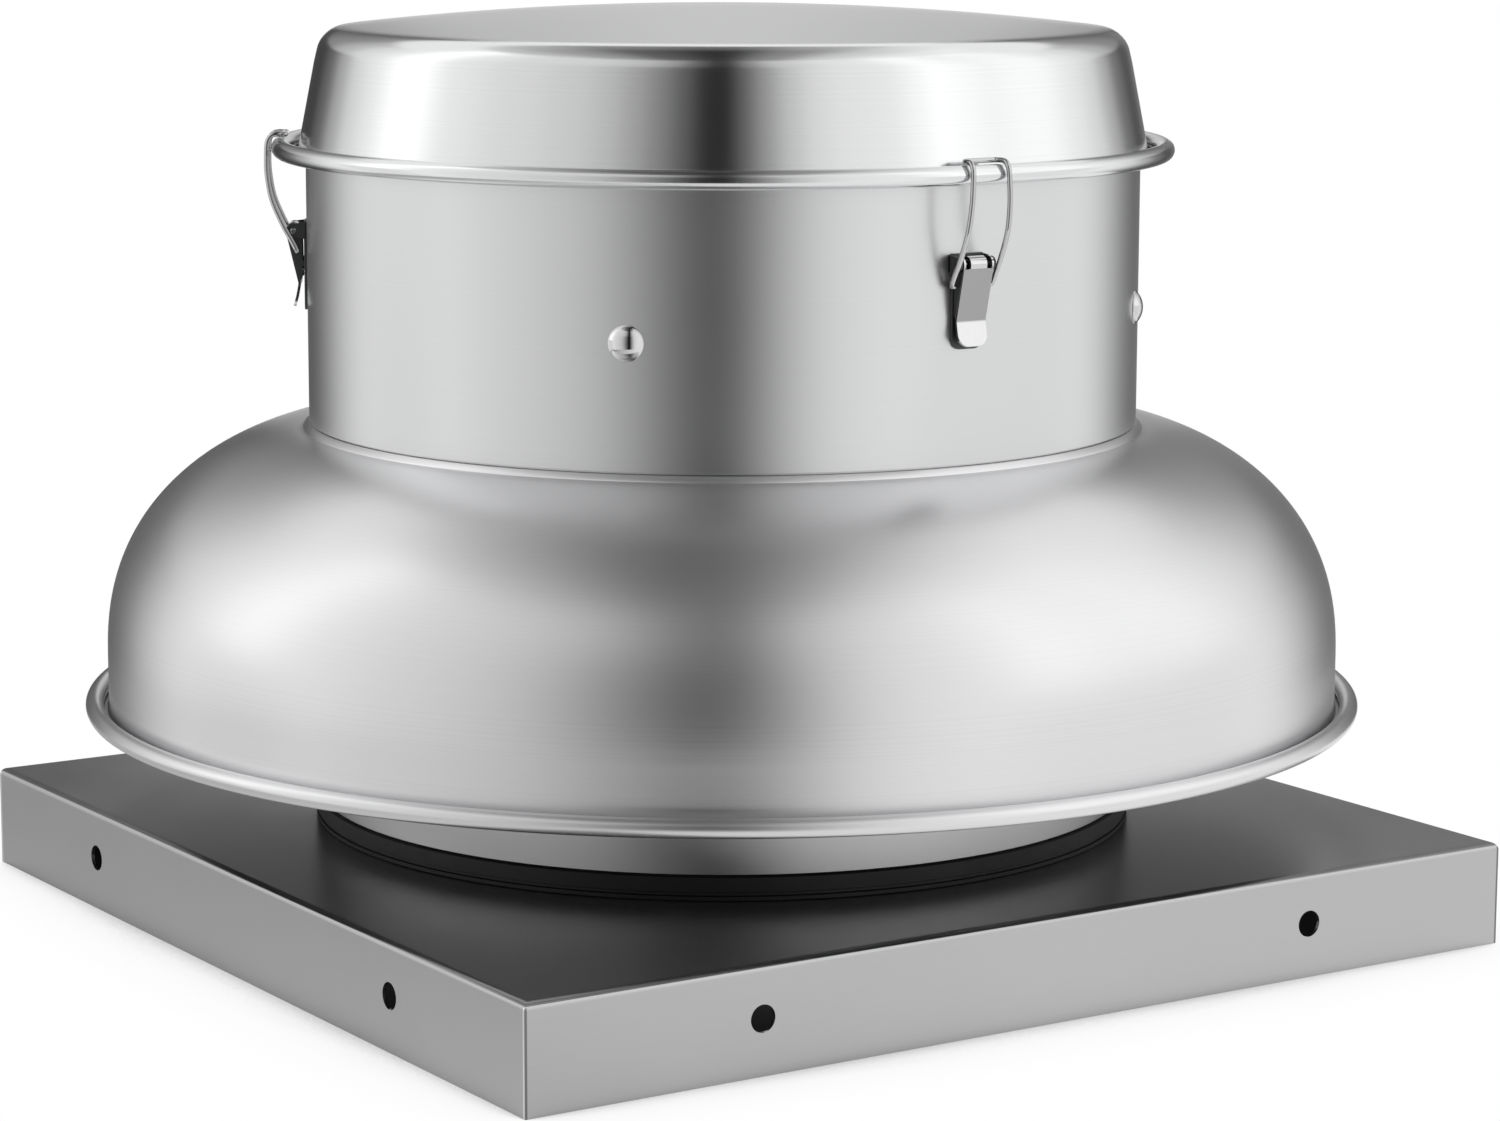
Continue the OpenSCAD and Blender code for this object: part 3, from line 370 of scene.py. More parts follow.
sheet_surface = next(node for node in tree.nodes if node.type == "BSDF_PRINCIPLED")
# Painted highlight: a bright line along one flange at each corner
painted_edge_highlight = add_node(tree, "ShaderNodeMix", {"data_type": "RGBA", 7: linear("EDEDED")}, {
    0: corner_strip(along_x=0.0003, along_y=0.0014),
    6: sheet_surface.inputs["Base Color"].links[0].from_socket})
# Painted shade: a dark line along the other flange at each corner
painted_seam_shade = add_node(tree, "ShaderNodeMix", {"data_type": "RGBA", 7: linear("7E7E7E")}, {
    0: corner_strip(along_x=0.0010, along_y=0.0003), 6: painted_edge_highlight.outputs[2]})
tree.links.new(painted_seam_shade.outputs[2], sheet_surface.inputs["Base Color"])
finish_piece(merged_copy("curb_cap", "curb_cap_sheet"), curb_sheet, "housing", "sheet_aluminium", "curb_cap")


# Inlet
# Bell mouth pressed from sheet, drawn in from its flange to the throat, and riveted over the opening of the
# curb cap. All outlines below are lists of (radius, height) points in millimetres.
def new_tree(name, inputs, output):
    """A Geometry Nodes tree with named inputs, given as (name, kind of socket), a finish and one output."""
    tree = bpy.data.node_groups.new(name, "GeometryNodeTree")
    for wanted, kind in (*inputs, ("Finish", "Material")):
        tree.interface.new_socket(wanted, in_out="INPUT", socket_type="NodeSocket" + kind)
    tree.interface.new_socket(output, in_out="OUTPUT", socket_type="NodeSocketGeometry")
    return tree, add_node(tree, "NodeGroupInput").outputs


def end_tree(tree, made, given, output):
    """Ends a tree: the copies in it are made real, take the finish and go to the output."""
    realized = add_node(tree, "GeometryNodeRealizeInstances", None, {"Geometry": made})
    coated = add_node(tree, "GeometryNodeSetMaterial", None, {
        "Geometry": realized.outputs["Geometry"], "Material": given["Finish"]})
    add_node(tree, "NodeGroupOutput", None, {output: coated.outputs["Geometry"]})


def run_tree(carrier, tree, values, name):
    """Runs a tree with values for its inputs on an object, which is used up, and gives the mesh it makes."""
    modifier = carrier.modifiers.new(tree.name, "NODES")
    modifier.node_group = tree
    sockets = {item.name: item.identifier for item in tree.interface.items_tree if item.in_out == "INPUT"}
    for wanted, value in values.items():
        modifier[sockets[wanted]] = value
    made = bpy.data.meshes.new_from_object(carrier.evaluated_get(bpy.context.evaluated_depsgraph_get()))
    bpy.data.objects.remove(carrier)
    made.name = name
    return made


turning, given = new_tree("turned_outline", (
    ("Outline", "Geometry"), ("Steps round", "Int"), ("Path radius", "Float")), "Shell")
path = add_node(turning, "GeometryNodeCurvePrimitiveCircle", None, {
    "Resolution": given["Steps round"], "Radius": given["Path radius"]})
section = add_node(turning, "GeometryNodeMeshToCurve", None, {"Mesh": given["Outline"]})
shell = add_node(turning, "GeometryNodeCurveToMesh", None, {
    "Curve": path.outputs["Curve"], "Profile Curve": section.outputs["Curve"]})
merged = add_node(turning, "GeometryNodeMergeByDistance", {"Distance": 1e-6}, {
    "Geometry": shell.outputs["Mesh"]})
end_tree(turning, merged.outputs["Geometry"], given, "Shell")


def turned(name, outline, steps=256, crease=28):
    """A closed shell turned round the Z axis by the tree above, from an outline that is listed downwards on
    the outside and upwards on the inside."""
    path_radius = 0.2
    section_mesh = bpy.data.meshes.new(name + "_outline")
    count = len(outline)
    section_mesh.from_pydata([(r / 1000 - path_radius, -z / 1000, 0) for r, z in outline],
                             [(k, (k + 1) % count) for k in range(count)], [])
    carrier = add_object(name + "_carrier", section_mesh)
    made = run_tree(carrier, turning, {"Steps round": steps, "Path radius": path_radius}, name)
    shape = bmesh.new()
    shape.from_mesh(made)
    bmesh.ops.delete(shape, geom=[edge for edge in shape.edges if not edge.link_faces], context="EDGES")
    bmesh.ops.recalc_face_normals(shape, faces=shape.faces)
    shape.to_mesh(made)
    shape.free()
    smooth(made, crease)
    return add_object(name, made)


def arc(centre, radius, start, end, steps):
    """Points on an arc, with angles in degrees from the outward direction towards up."""
    return [(centre[0] + radius * math.cos(math.radians(start + (end - start) * k / steps)),
             centre[1] + radius * math.sin(math.radians(start + (end - start) * k / steps)))
            for k in range(steps + 1)]


throat_radius = 108.0
throat_top = 108.0
mouth_radius = 30.0
inlet_sheet = 1.5
inlet_edge = 150.0
curb_top = 44.5
flange_radius = throat_radius + mouth_radius
mouth_level = curb_top + mouth_radius
bell_mouth = turned("inlet_bell_mouth", (
    [(throat_radius + inlet_sheet, throat_top)]
    + arc((flange_radius, mouth_level), mouth_radius - inlet_sheet, 180, 270, 16)
    + [(inlet_edge - 0.6, curb_top + inlet_sheet), (inlet_edge, curb_top + 0.9), (inlet_edge, curb_top)]
    + arc((flange_radius, mouth_level), mouth_radius, 270, 180, 16)
    + [(throat_radius, throat_top)]
))
finish_piece(bell_mouth, mill_sheet, "housing", "sheet_aluminium", "inlet_venturi")

setting_out, given = new_tree("ring_of_fasteners", (
    ("Fastener", "Geometry"), ("Count", "Int"), ("Radius", "Float"), ("Height", "Float"),
    ("First turn", "Float"), ("Outward", "Float")), "Ring")
circle = add_node(setting_out, "GeometryNodeMeshCircle", None, {
    "Vertices": given["Count"], "Radius": given["Radius"]})
lift = add_node(setting_out, "ShaderNodeCombineXYZ", None, {"Z": given["Height"]})
twist = add_node(setting_out, "ShaderNodeCombineXYZ", None, {"Z": given["First turn"]})
places = add_node(setting_out, "GeometryNodeTransform", None, {
    "Geometry": circle.outputs["Mesh"], "Translation": lift.outputs[0], "Rotation": twist.outputs[0]})
spot = add_node(setting_out, "GeometryNodeInputPosition")
level = add_node(setting_out, "ShaderNodeVectorMath", {"operation": "MULTIPLY", 1: (1, 1, 0)}, {
    0: spot.outputs[0]})
away = add_node(setting_out, "ShaderNodeVectorMath", {"operation": "NORMALIZE"}, {0: level.outputs[0]})
axis = add_node(setting_out, "ShaderNodeMix", {"data_type": "VECTOR", 4: (0, 0, 1)}, {
    0: given["Outward"], 5: away.outputs[0]})
facing = add_node(setting_out, "FunctionNodeAlignRotationToVector", {"axis": "Z"}, {
    "Vector": axis.outputs[1]})
copies = add_node(setting_out, "GeometryNodeInstanceOnPoints", None, {
    "Points": places.outputs[0], "Instance": given["Fastener"], "Rotation": facing.outputs[0]})
end_tree(setting_out, copies.outputs[0], given, "Ring")


def fastener_ring(name, outline, count, radius, height, first_turn, outward):
    """Equal fasteners in a ring, set out by the tree above. The outline is one fastener's, whose own Z axis
    points away from the fan's axis where outward is true, and up where it is false."""
    made = run_tree(turned(name, outline, steps=32), setting_out, {
        "Count": count, "Radius": radius / 1000, "Height": height / 1000,
        "First turn": math.radians(first_turn), "Outward": float(outward)}, name)
    return add_object(name, made)


def rivet_outline(grip):
    """A domed rivet whose outer head sits at 0, through sheets as thick as its grip."""
    return [(0, 1.6), (1.5, 1.5), (2.7, 1.15), (3.6, 0.6), (4.0, 0), (2.0, 0), (2.0, -grip), (3.4, -grip),
            (3.3, -grip - 0.8), (2.3, -grip - 1.4), (0, -grip - 1.4)]


# Bright rivet aluminium: soft metal, struck once, with a small sheen
rivet_metal = grained("struck_rivet_aluminium", dark="CECFD0", light="DCDDDE", roughness=(0.24, 0.34),
                      grain=(900, 900, 900), relief=0.08, shader=bare_metal)
inlet_rivets = fastener_ring("inlet_rivet_ring", rivet_outline(grip=3.1), count=8, radius=144.0,
                             height=curb_top + inlet_sheet, first_turn=22.5, outward=False)
finish_piece(inlet_rivets, rivet_metal, "housing", "rivet_aluminium", "venturi_rivets")

# Rubber strip under the collar
# Black EPDM strip with a groove round it, squeezed between the collar and the curb cap.
# The extruder leaves it with a dull, slightly cloudy skin.
rubber = grained("black_epdm_rubber", dark="060606", light="0D0D0D", roughness=(0.45, 0.62),
                 grain=(700, 700, 700), relief=0.15, shader={"IOR": 1.52})
collar_foot = 55.0
strip_in = 176.5
strip_out = 179.5
collar_strip = turned("collar_rubber_strip", [
    (strip_in, collar_foot), (strip_out - 0.6, collar_foot), (strip_out, collar_foot - 0.6),
    (strip_out, curb_top + 3.9), (strip_out - 0.8, curb_top + 3.5), (strip_out - 0.8, curb_top + 2.4),
    (strip_out, curb_top + 2.0), (strip_out, curb_top + 0.5), (strip_out - 0.5, curb_top),
    (strip_in, curb_top),
])
finish_piece(collar_strip, rubber, "housing", "black_rubber", "collar_gasket")

# Collar
# A ring of sheet that stands on the rubber strip and keeps rain out of the inlet.
# Four rivets hold it to the straps.
collar_top = 95.0
collar_out = 178.0
collar = turned("collar_ring", [
    (strip_in, collar_top), (collar_out - 0.5, collar_top), (collar_out, collar_top - 0.5),
    (collar_out, collar_foot + 0.4), (collar_out - 0.4, collar_foot), (strip_in, collar_foot),
])
finish_piece(collar, mill_sheet, "housing", "sheet_aluminium", "inlet_collar")
collar_rivets = fastener_ring("collar_rivet_ring", rivet_outline(grip=4.5), count=4, radius=collar_out,
                              height=85.0, first_turn=45.0, outward=True)
finish_piece(collar_rivets, rivet_metal, "housing", "rivet_aluminium", "collar_rivets")


# Support straps
# Four zinc-plated steel bars from the curb cap up to the motor band, each with a foot and a hex bolt.
# The plating is a cool grey with a faint crystal pattern.
def dress(material, *nodes):
    """Gives CAD pieces that stay in the picture a finer finish."""
    for name in nodes:
        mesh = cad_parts[name].data
        mesh.materials.clear()
        mesh.materials.append(material)


zinc_plate = grained("bright_zinc_plate", dark="AEB2B6", light="C4C7CA", roughness=(0.26, 0.44),
                     grain=(260, 260, 260), relief=0.06, shader=bare_metal)
dress(zinc_plate, "foot_bolts", "hex_nuts", *[f"support_strap_{number}" for number in range(1, 5)])

# Wheel
# Backward-inclined blades between a flat backplate and a coned shroud, all aluminium, riveted to a cast hub
# on the motor's shaft. The shroud runs just clear of the inlet's throat.
# Sheet aluminium of the wheel: cut and pressed, with its grain drawn out up and down
wheel_sheet = grained("pressed_wheel_aluminium", dark="BEBFC0", light="CCCDCE", roughness=(0.30, 0.40),
                      grain=(1100, 1100, 60), relief=0.05, shader=bare_metal)
dress(wheel_sheet, "wheel_backplate", "wheel_shroud", *[f"wheel_blade_{number}" for number in range(1, 10)])
# Cast aluminium: a pale grey skin with the fine pits of the mould
cast_metal = grained("cast_aluminium_skin", dark="A2A3A5", light="B4B5B7", roughness=(0.42, 0.58),
                     grain=(650, 650, 650), relief=0.45, shader=bare_metal)
dress(cast_metal, "wheel_hub")
# Ground steel: turned and ground bright, so fine rings run round it
ground_steel = grained("ground_steel", dark="BFBFBE", light="D0D0CF", roughness=(0.18, 0.28),
                       grain=(80, 80, 2600), relief=0.05, shader=bare_metal)
dress(ground_steel, "motor_shaft")
dress(zinc_plate, "hub_set_screw")
hub_rivets = fastener_ring("hub_rivet_ring", rivet_outline(grip=8.0), count=6, radius=33.0, height=189.0,
                           first_turn=0.0, outward=False)
finish_piece(hub_rivets, rivet_metal, "rotor", "rivet_aluminium", "hub_rivets")


# Bell housing
# Spun from one aluminium disc over a former: neck, rounded shoulder, short skirt and a rim curled outwards.
# The spinning tool leaves fine rings round it, which stretch each light up and down.
def spun_metal(name, dark, light, roughness, stretch, ring_strength):
    """Spun aluminium: bright, satin, with fine tool rings that follow the turning."""
    material, tree = new_material(name)
    place = add_node(tree, "ShaderNodeTexCoord").outputs["Object"]
    parts = add_node(tree, "ShaderNodeSeparateXYZ", None, {0: place})
    flat = add_node(tree, "ShaderNodeVectorMath", {"operation": "MULTIPLY", 1: (1, 1, 0)}, {0: place})
    from_axis = add_node(tree, "ShaderNodeVectorMath", {"operation": "LENGTH"}, {0: flat.outputs["Vector"]})
    along = add_node(tree, "ShaderNodeMath", {"operation": "SUBTRACT"}, {
        0: parts.outputs["Z"], 1: from_axis.outputs["Value"]})
    # Rings 1.2 mm apart are wider than the real tool marks, so that they show at this distance
    rings_per_metre = 830.0
    rings = add_node(tree, "ShaderNodeTexNoise", {
        "noise_dimensions": "1D", "Scale": rings_per_metre, "Detail": 4.0, "Roughness": 0.7}, {
        "W": along.outputs[0]}).outputs["Fac"]
    patch = add_node(tree, "ShaderNodeTexNoise", {"Scale": 9.0, "Detail": 3.0}, {"Vector": place})
    tone = add_node(tree, "ShaderNodeMix", {"data_type": "RGBA", 6: linear(dark), 7: linear(light)}, {
        0: rings})
    wear = add_node(tree, "ShaderNodeMath", {"operation": "MULTIPLY_ADD", 1: 0.5}, {
        0: rings, 2: patch.outputs["Fac"]})
    shine = add_node(tree, "ShaderNodeMapRange", {
        "From Min": 0.45, "From Max": 1.05, "To Min": roughness[0], "To Max": roughness[1]}, {
        "Value": wear.outputs[0]})
    bump = add_node(tree, "ShaderNodeBump", {"Strength": ring_strength, "Distance": 0.00005}, {
        "Height": rings})
    turning_way = add_node(tree, "ShaderNodeTangent", {"direction_type": "RADIAL", "axis": "Z"})
    metal = add_node(tree, "ShaderNodeBsdfPrincipled", {
        "Metallic": 1.0, "Anisotropic": stretch, "Anisotropic Rotation": 0.25}, {
        "Base Color": tone.outputs[2], "Roughness": shine.outputs[0], "Normal": bump.outputs[0],
        "Tangent": turning_way.outputs[0]})
    add_node(tree, "ShaderNodeOutputMaterial", None, {"Surface": metal.outputs[0]})
    return material


neck_in = 176.5
neck_out = 178.5
neck_top = 280.0
band_foot = 217.5
bell_top = 216.0
shoulder_in = 182.3
skirt_top = 119.7
shoulder_power_out = 1.72
shoulder_power_up = 2.29
skirt_out = 269.0
bell_sheet = 2.0
rim_sheet = 1.6
rim_level = 97.1
rim_radius = 3.9
rim_middle = 275.1
curl_out = rim_level - rim_radius + rim_sheet
outer_fillet = 1.2
inner_fillet = 2.4


def bell_shoulder(outer, top, steps=48):
    """Points of the rounded shoulder from neck to skirt. It is nearly a quarter of an ellipse, a little lower
    near the neck and a little fuller near the skirt."""
    points = []
    for k in range(steps + 1):
        turn = math.radians(90 * (1 - k / steps))
        outward = max(math.cos(turn), 0) ** (2 / shoulder_power_out)
        upward = max(math.sin(turn), 0) ** (2 / shoulder_power_up)
        points.append((shoulder_in + (outer - shoulder_in) * outward, skirt_top + (top - skirt_top) * upward))
    return points


bell_outline = (
    [(neck_in, neck_top), (neck_out, neck_top), (neck_out, band_foot + 1.1), (180.6, band_foot + 1.1),
     (181.0, band_foot + 0.8), (183.1, bell_top + 0.6), (183.3, bell_top + 0.1)]
    + bell_shoulder(skirt_out, bell_top)[1:]
    + [(skirt_out, skirt_top - 0.5), (skirt_out, curl_out + outer_fillet + 0.5)]
    + arc((skirt_out + outer_fillet, curl_out + outer_fillet), outer_fillet, 180, 270, 4)[1:]
    + arc((rim_middle, rim_level), rim_radius - rim_sheet, 270, 555, 28)
    + arc((rim_middle, rim_level), rim_radius, 555, 270, 28)
    + arc((skirt_out - bell_sheet + inner_fillet, rim_level - rim_radius + inner_fillet), inner_fillet,
          270, 180, 5)
    + bell_shoulder(skirt_out - bell_sheet, bell_top - bell_sheet)[::-1]
    + [(neck_in, bell_top - bell_sheet)]
)
spun_bell = spun_metal("spun_aluminium_bell", dark="DDDDDE", light="E7E7E8", roughness=(0.29, 0.35),
                       stretch=0.4, ring_strength=0.08)
bell = turned("spun_bell", bell_outline, steps=360, crease=40)
finish_piece(bell, spun_bell, "housing", "spun_aluminium", "bell_housing")
# Inside of the bell above its rim: dull, and darkened as painted shade
bell_inner_painted_shade = spun_metal("painted_shade_bell_inner", dark="6E6E6F", light="7C7C7D", roughness=(0.42, 0.52),
                         stretch=0.2, ring_strength=0.08)
bell.data.materials.append(bell_inner_painted_shade)
# Faces above the rim that look down and inward take the painted shade
above_the_rim = 0.1015
for polygon in bell.data.polygons:
    up_and_out = Vector((polygon.center.x, polygon.center.y, 0)).normalized() + Vector((0, 0, 1))
    if polygon.center.z > above_the_rim and polygon.normal.dot(up_and_out) < -0.05:
        polygon.material_index = 1

# Motor pan
# A shallow spun pan inside the neck that keeps the air stream away from the motor.
# A rubber seal closes it round the shaft.
motor_pan = merged_copy("motor_pan", "motor_pan_sheet")
finish_piece(motor_pan, mill_sheet, "housing", "sheet_aluminium", "motor_pan")
dress(rubber, "shaft_seal")

# Motor
# A squat induction motor that stands on four rubber isolators: cast base and top cover and a steel shell, all
# painted, and tie rods that hold them together.
dress(rubber, "motor_isolators")
dress(zinc_plate, "motor_bolts", "motor_tie_rods")
dress(ground_steel, "bearing_lower", "bearing_upper")
# Black motor enamel: sprayed, semi-gloss, with a light orange peel
enamel = grained("black_motor_enamel", dark="161617", light="1E1E20", roughness=(0.26, 0.36),
                 grain=(420, 420, 420), relief=0.2, shader={"Coat Weight": 0.3, "Coat Roughness": 0.2})
dress(enamel, "motor_base", "motor_shell", "motor_top_cover")
# Varnished laminations: thin steel sheets on edge, brown from the dipping varnish, drawn 0.7 mm apart
laminations = grained("varnished_laminations", dark="4A372C", light="6E5A4C", roughness=(0.35, 0.5),
                      grain=(6, 6, 1430), relief=0.5, shader={"Metallic": 0.6})
dress(laminations, "motor_stator", "motor_rotor")

# Junction box
# A small box of folded sheet on the pan, with a cover held by two screws.
# A nylon gland, moulded with a fine spark-eroded skin, leads through the pan.
for node in ("junction_box", "junction_cover"):
    finish_piece(merged_copy(node, node + "_sheet"), mill_sheet, "housing", "sheet_aluminium", node)
dress(zinc_plate, "junction_screws")
nylon = grained("moulded_black_nylon", dark="0E0E0F", light="161617", roughness=(0.38, 0.5),
                grain=(900, 900, 900), relief=0.2, shader={"IOR": 1.53})
dress(nylon, "cable_gland")

# Motor band
# A rolled ring of linished sheet that stands round the bell's neck and reaches up to the gasket.
# Points close to each bend of its outline keep its long faces flat.
rolled_band = spun_metal("linished_aluminium_band", dark="DADBDB", light="E0E0E1", roughness=(0.29, 0.32),
                         stretch=0.25, ring_strength=0.03)
band_out = 180.5
band_in = 178.5
band_top = 339.0
band = turned("rolled_motor_band", [
    (band_in, band_top), (band_out - 0.5, band_top), (band_out, band_top - 0.5), (band_out, band_top - 0.9),
    (band_out, band_foot + 2.5), (band_out, band_foot + 2.1), (band_out - 0.3, band_foot + 1.6),
    (band_in, band_foot + 1.6),
], steps=360)
finish_piece(band, rolled_band, "housing", "spun_aluminium", "motor_band")

# Dome-head bolts
# Four bolts through band, neck, strap and pan, with polished stainless heads on a thin flange.
# The polish is bright and neutral, with a trace of the buffing.
polished = grained("polished_stainless_steel", dark="D2D2D2", light="E0E0E0", roughness=(0.03, 0.08),
                   grain=(420, 420, 420), relief=0.03, shader=bare_metal)
bolt_level = 271.0
head_radius = 7.4
head_rise = 3.4
head_flange = 0.5
head_steps = 9
ball_radius = (head_radius ** 2 + head_rise ** 2) / (2 * head_rise)
shank_radius = 4.0
shank_end = -16.1
shank_chamfer = 0.5
dome_outline = [(0, head_rise)]
for k in range(1, head_steps + 1):
    across = (head_radius - head_flange) * k / head_steps
    dome_outline.append((across, head_rise - ball_radius + math.sqrt(ball_radius ** 2 - across ** 2)))
dome_outline += [(head_radius - 0.1, 0.35), (head_radius, 0.0), (shank_radius, 0.0),
                 (shank_radius, shank_end + shank_chamfer), (shank_radius - shank_chamfer, shank_end),
                 (0, shank_end)]
dome_bolts = fastener_ring("dome_bolt_ring", dome_outline, count=4, radius=band_out, height=bolt_level,
                           first_turn=45.0, outward=True)
finish_piece(dome_bolts, polished, "housing", "stainless", "band_bolts")

# Cap gasket
# A black rubber ring on the band's upper edge, which the cap closes on.
# It reaches a little further in than the band.
seal_top = 343.0
seal_in = 177.0
cap_seal = turned("cap_seal_ring", [
    (seal_in, seal_top - 1.0), (177.6, seal_top - 0.2), (178.4, seal_top), (179.3, seal_top),
    (180.1, seal_top - 0.3), (band_out, seal_top - 1.1), (band_out, band_top), (seal_in, band_top),
])
finish_piece(cap_seal, rubber, "housing", "black_rubber", "cap_gasket")

# Cap
# Spun aluminium cover with a crowned top, a tight shoulder, a wall that leans in and a curled rim.
# It is finished brighter than the bell.
spun_cap = spun_metal("spun_aluminium_cap", dark="E1E2E2", light="E9E9EA", roughness=(0.15, 0.18),
                      stretch=0.3, ring_strength=0.03)
cap_rim_level = 336.9
cap_rim_radius = 4.05
cap_rim_middle = 191.09
cap_sheet = 1.5
cap_clearance = 0.4
crease_radius = 166.5
crease_level = 388.2
crown_rise = 9.5
crown_radius = (crease_radius ** 2 + crown_rise ** 2) / (2 * crown_rise)
crown_edge_slope = 17
cap_shoulder = 12.6
lean_angle = 11.2
lean = math.tan(math.radians(lean_angle))
wall_sheet = cap_sheet / math.cos(math.radians(lean_angle))


def cap_wall(z):
    """Outside radius of the cap's leaning wall at a height."""
    return band_out + cap_clearance + wall_sheet - (z - seal_top) * lean


def cap_crown(sheet, steps=28):
    """Points of the crowned top from the middle outwards."""
    middle = crease_level - sheet + crown_rise - crown_radius
    points = []
    for k in range(steps):
        r = crease_radius * k / steps
        points.append((r, middle + math.sqrt(crown_radius ** 2 - r ** 2)))
    return points


def cap_turn(sheet, steps=12):
    """Points of the tight shoulder between the crown and the wall."""
    centre = (crease_radius - cap_shoulder * math.sin(math.radians(crown_edge_slope)),
              crease_level - cap_shoulder * math.cos(math.radians(crown_edge_slope)))
    return arc(centre, cap_shoulder - sheet, 90 - crown_edge_slope, lean_angle, steps)


rim_foot = cap_rim_level - cap_rim_radius
cap_wall_top = 374.0
cap_wall_foot = rim_foot + cap_sheet
cap_outline = (
    cap_crown(0)
    + cap_turn(0)
    + [(cap_wall(cap_wall_top), cap_wall_top), (cap_wall(cap_wall_foot + 1.5), cap_wall_foot + 1.5),
       (cap_wall(cap_wall_foot + 1.0), cap_wall_foot + 1.0),
       (cap_wall(cap_wall_foot) + 0.8, cap_wall_foot + 0.1)]
    + arc((cap_rim_middle, cap_rim_level), cap_rim_radius - cap_sheet, 270, 555, 28)
    + arc((cap_rim_middle, cap_rim_level), cap_rim_radius, 555, 270, 28)
    + [(cap_wall(rim_foot) + 0.3, rim_foot), (cap_wall(rim_foot) - wall_sheet, rim_foot + 1.2)]
    + cap_turn(cap_sheet)[::-1]
    + cap_crown(cap_sheet)[::-1]
)
cap = turned("spun_cap", cap_outline, steps=360, crease=40)
finish_piece(cap, spun_cap, "cap", "spun_aluminium", "cap")

# Draw latches
# Pressed stainless base and lever on a hinge pin, with a bail of bent wire that hooks over the cap's rim.
# The lever is rolled round its pin at the top and turned out into a rounded lip at the bottom. All points
# below are in millimetres, for a latch that faces along X.
hinge_out = 186.0
hinge_level = 301.0
pivot_out = 184.4
pivot_level = 292.0
lever_half_sheet = 0.6
latch_half_width = 7.2
lip_round = 5.0
lip_steps = 10
lip_end_out = 185.95
lip_end_level = 267.8
lip_slope_out = 0.26
lip_slope_up = 0.9216

# The middle of the lever's sheet from its roll down to its lip: outward, up and half of the sheet's width
roll = [(hinge_out + x, hinge_level + z, 4.0) for x, z in arc((0, 0), 2.7, 205, 0, 18)]
plate = [(188.55, 299.5, 4.0)] + [(x, z, latch_half_width) for x, z in (
    (188.45, 299.2), (183.8, 279.2), (183.6, 278.0), (183.75, 277.1), (184.2, 274.6), (184.65, 272.4))]
lip = []
for k in range(1, lip_steps + 1):
    to_the_end = lip_round * (1 - math.sin(math.radians(90 * k / lip_steps)))
    lip.append((lip_end_out - lip_slope_out * to_the_end, lip_end_level + lip_slope_up * to_the_end,
                latch_half_width - lip_round + math.sqrt(lip_round ** 2 - (lip_round - to_the_end) ** 2)))
lever_web = roll + plate + lip


def hull(points):
    """The outline round a set of points, as outward and up."""
    points = [Vector(point) for point in points]
    return [points[k] for k in geometry.convex_hull_2d(points)]


cheek = hull(arc((hinge_out, hinge_level), 3.3, 0, 345, 23) + [(182.5, 296.0), (182.3, 280.4), (183.5, 279.2)]
             + arc((pivot_out, pivot_level), 1.95, 0, 340, 17))
ear = hull(arc((hinge_out, hinge_level), 3.0, 0, 345, 23) + [(181.0, 304.6), (181.0, 297.4)])

# Half of the bail's path, from the lever's cheek to the middle of its hook: outward, along and up
wire_radius = 1.1
bail_half = [
    (184.4, 5.6, 292.0), (184.4, 7.4, 292.0), (184.45, 9.2, 292.2), (184.9, 9.9, 293.4), (187.0, 9.95, 297.5),
    (190.3, 9.9, 303.5), (194.9, 9.7, 314.5), (196.8, 9.3, 325.5), (196.9, 8.9, 334.5), (196.5, 8.7, 339.2),
    (194.9, 8.6, 341.8), (192.6, 8.5, 342.5), (190.2, 8.1, 342.5), (189.0, 7.2, 342.48), (188.8, 6.0, 342.46),
    (188.8, 3.0, 342.46)]
bail_path = bail_half + [(x, -y, z) for x, y, z in bail_half[::-1]]


def placed(turn):
    """Takes millimetres on a latch that faces along X to metres on one at a turn round the fan."""
    return Matrix.Rotation(turn, 4, "Z") @ Matrix.Scale(0.001, 4)


def join_rings(shape, rings):
    """Closes a bar through rings of four corners each."""
    for one, other in zip(rings, rings[1:]):
        for k in range(4):
            shape.faces.new((one[k], one[(k + 1) % 4], other[(k + 1) % 4], other[k]))
    shape.faces.new(rings[0])
    shape.faces.new(rings[-1][::-1])


def add_plates(shape, outline, inside, outside):
    """Adds a pair of flat plates of an outline, one at each side, between two distances from the middle."""
    for low, high in ((-outside, -inside), (inside, outside)):
        near = [shape.verts.new((point.x, low, point.y)) for point in outline]
        far = [shape.verts.new((point.x, high, point.y)) for point in outline]
        shape.faces.new(near)
        shape.faces.new(far[::-1])
        for k in range(len(outline)):
            following = (k + 1) % len(outline)
            shape.faces.new((near[k], near[following], far[following], far[k]))


def pressed_piece(name, shape, turn):
    """Turns a latch piece to its place round the band and breaks its edges."""
    bmesh.ops.recalc_face_normals(shape, faces=shape.faces)
    shape.transform(placed(turn))
    mesh = mesh_from(shape, name)
    smooth(mesh, 35)
    piece = add_object(name, mesh)
    broken = piece.modifiers.new("broken_edges", "BEVEL")
    broken.width = 0.0002
    broken.segments = 2
    broken.limit_method = "ANGLE"
    broken.angle_limit = math.radians(50)
    return piece


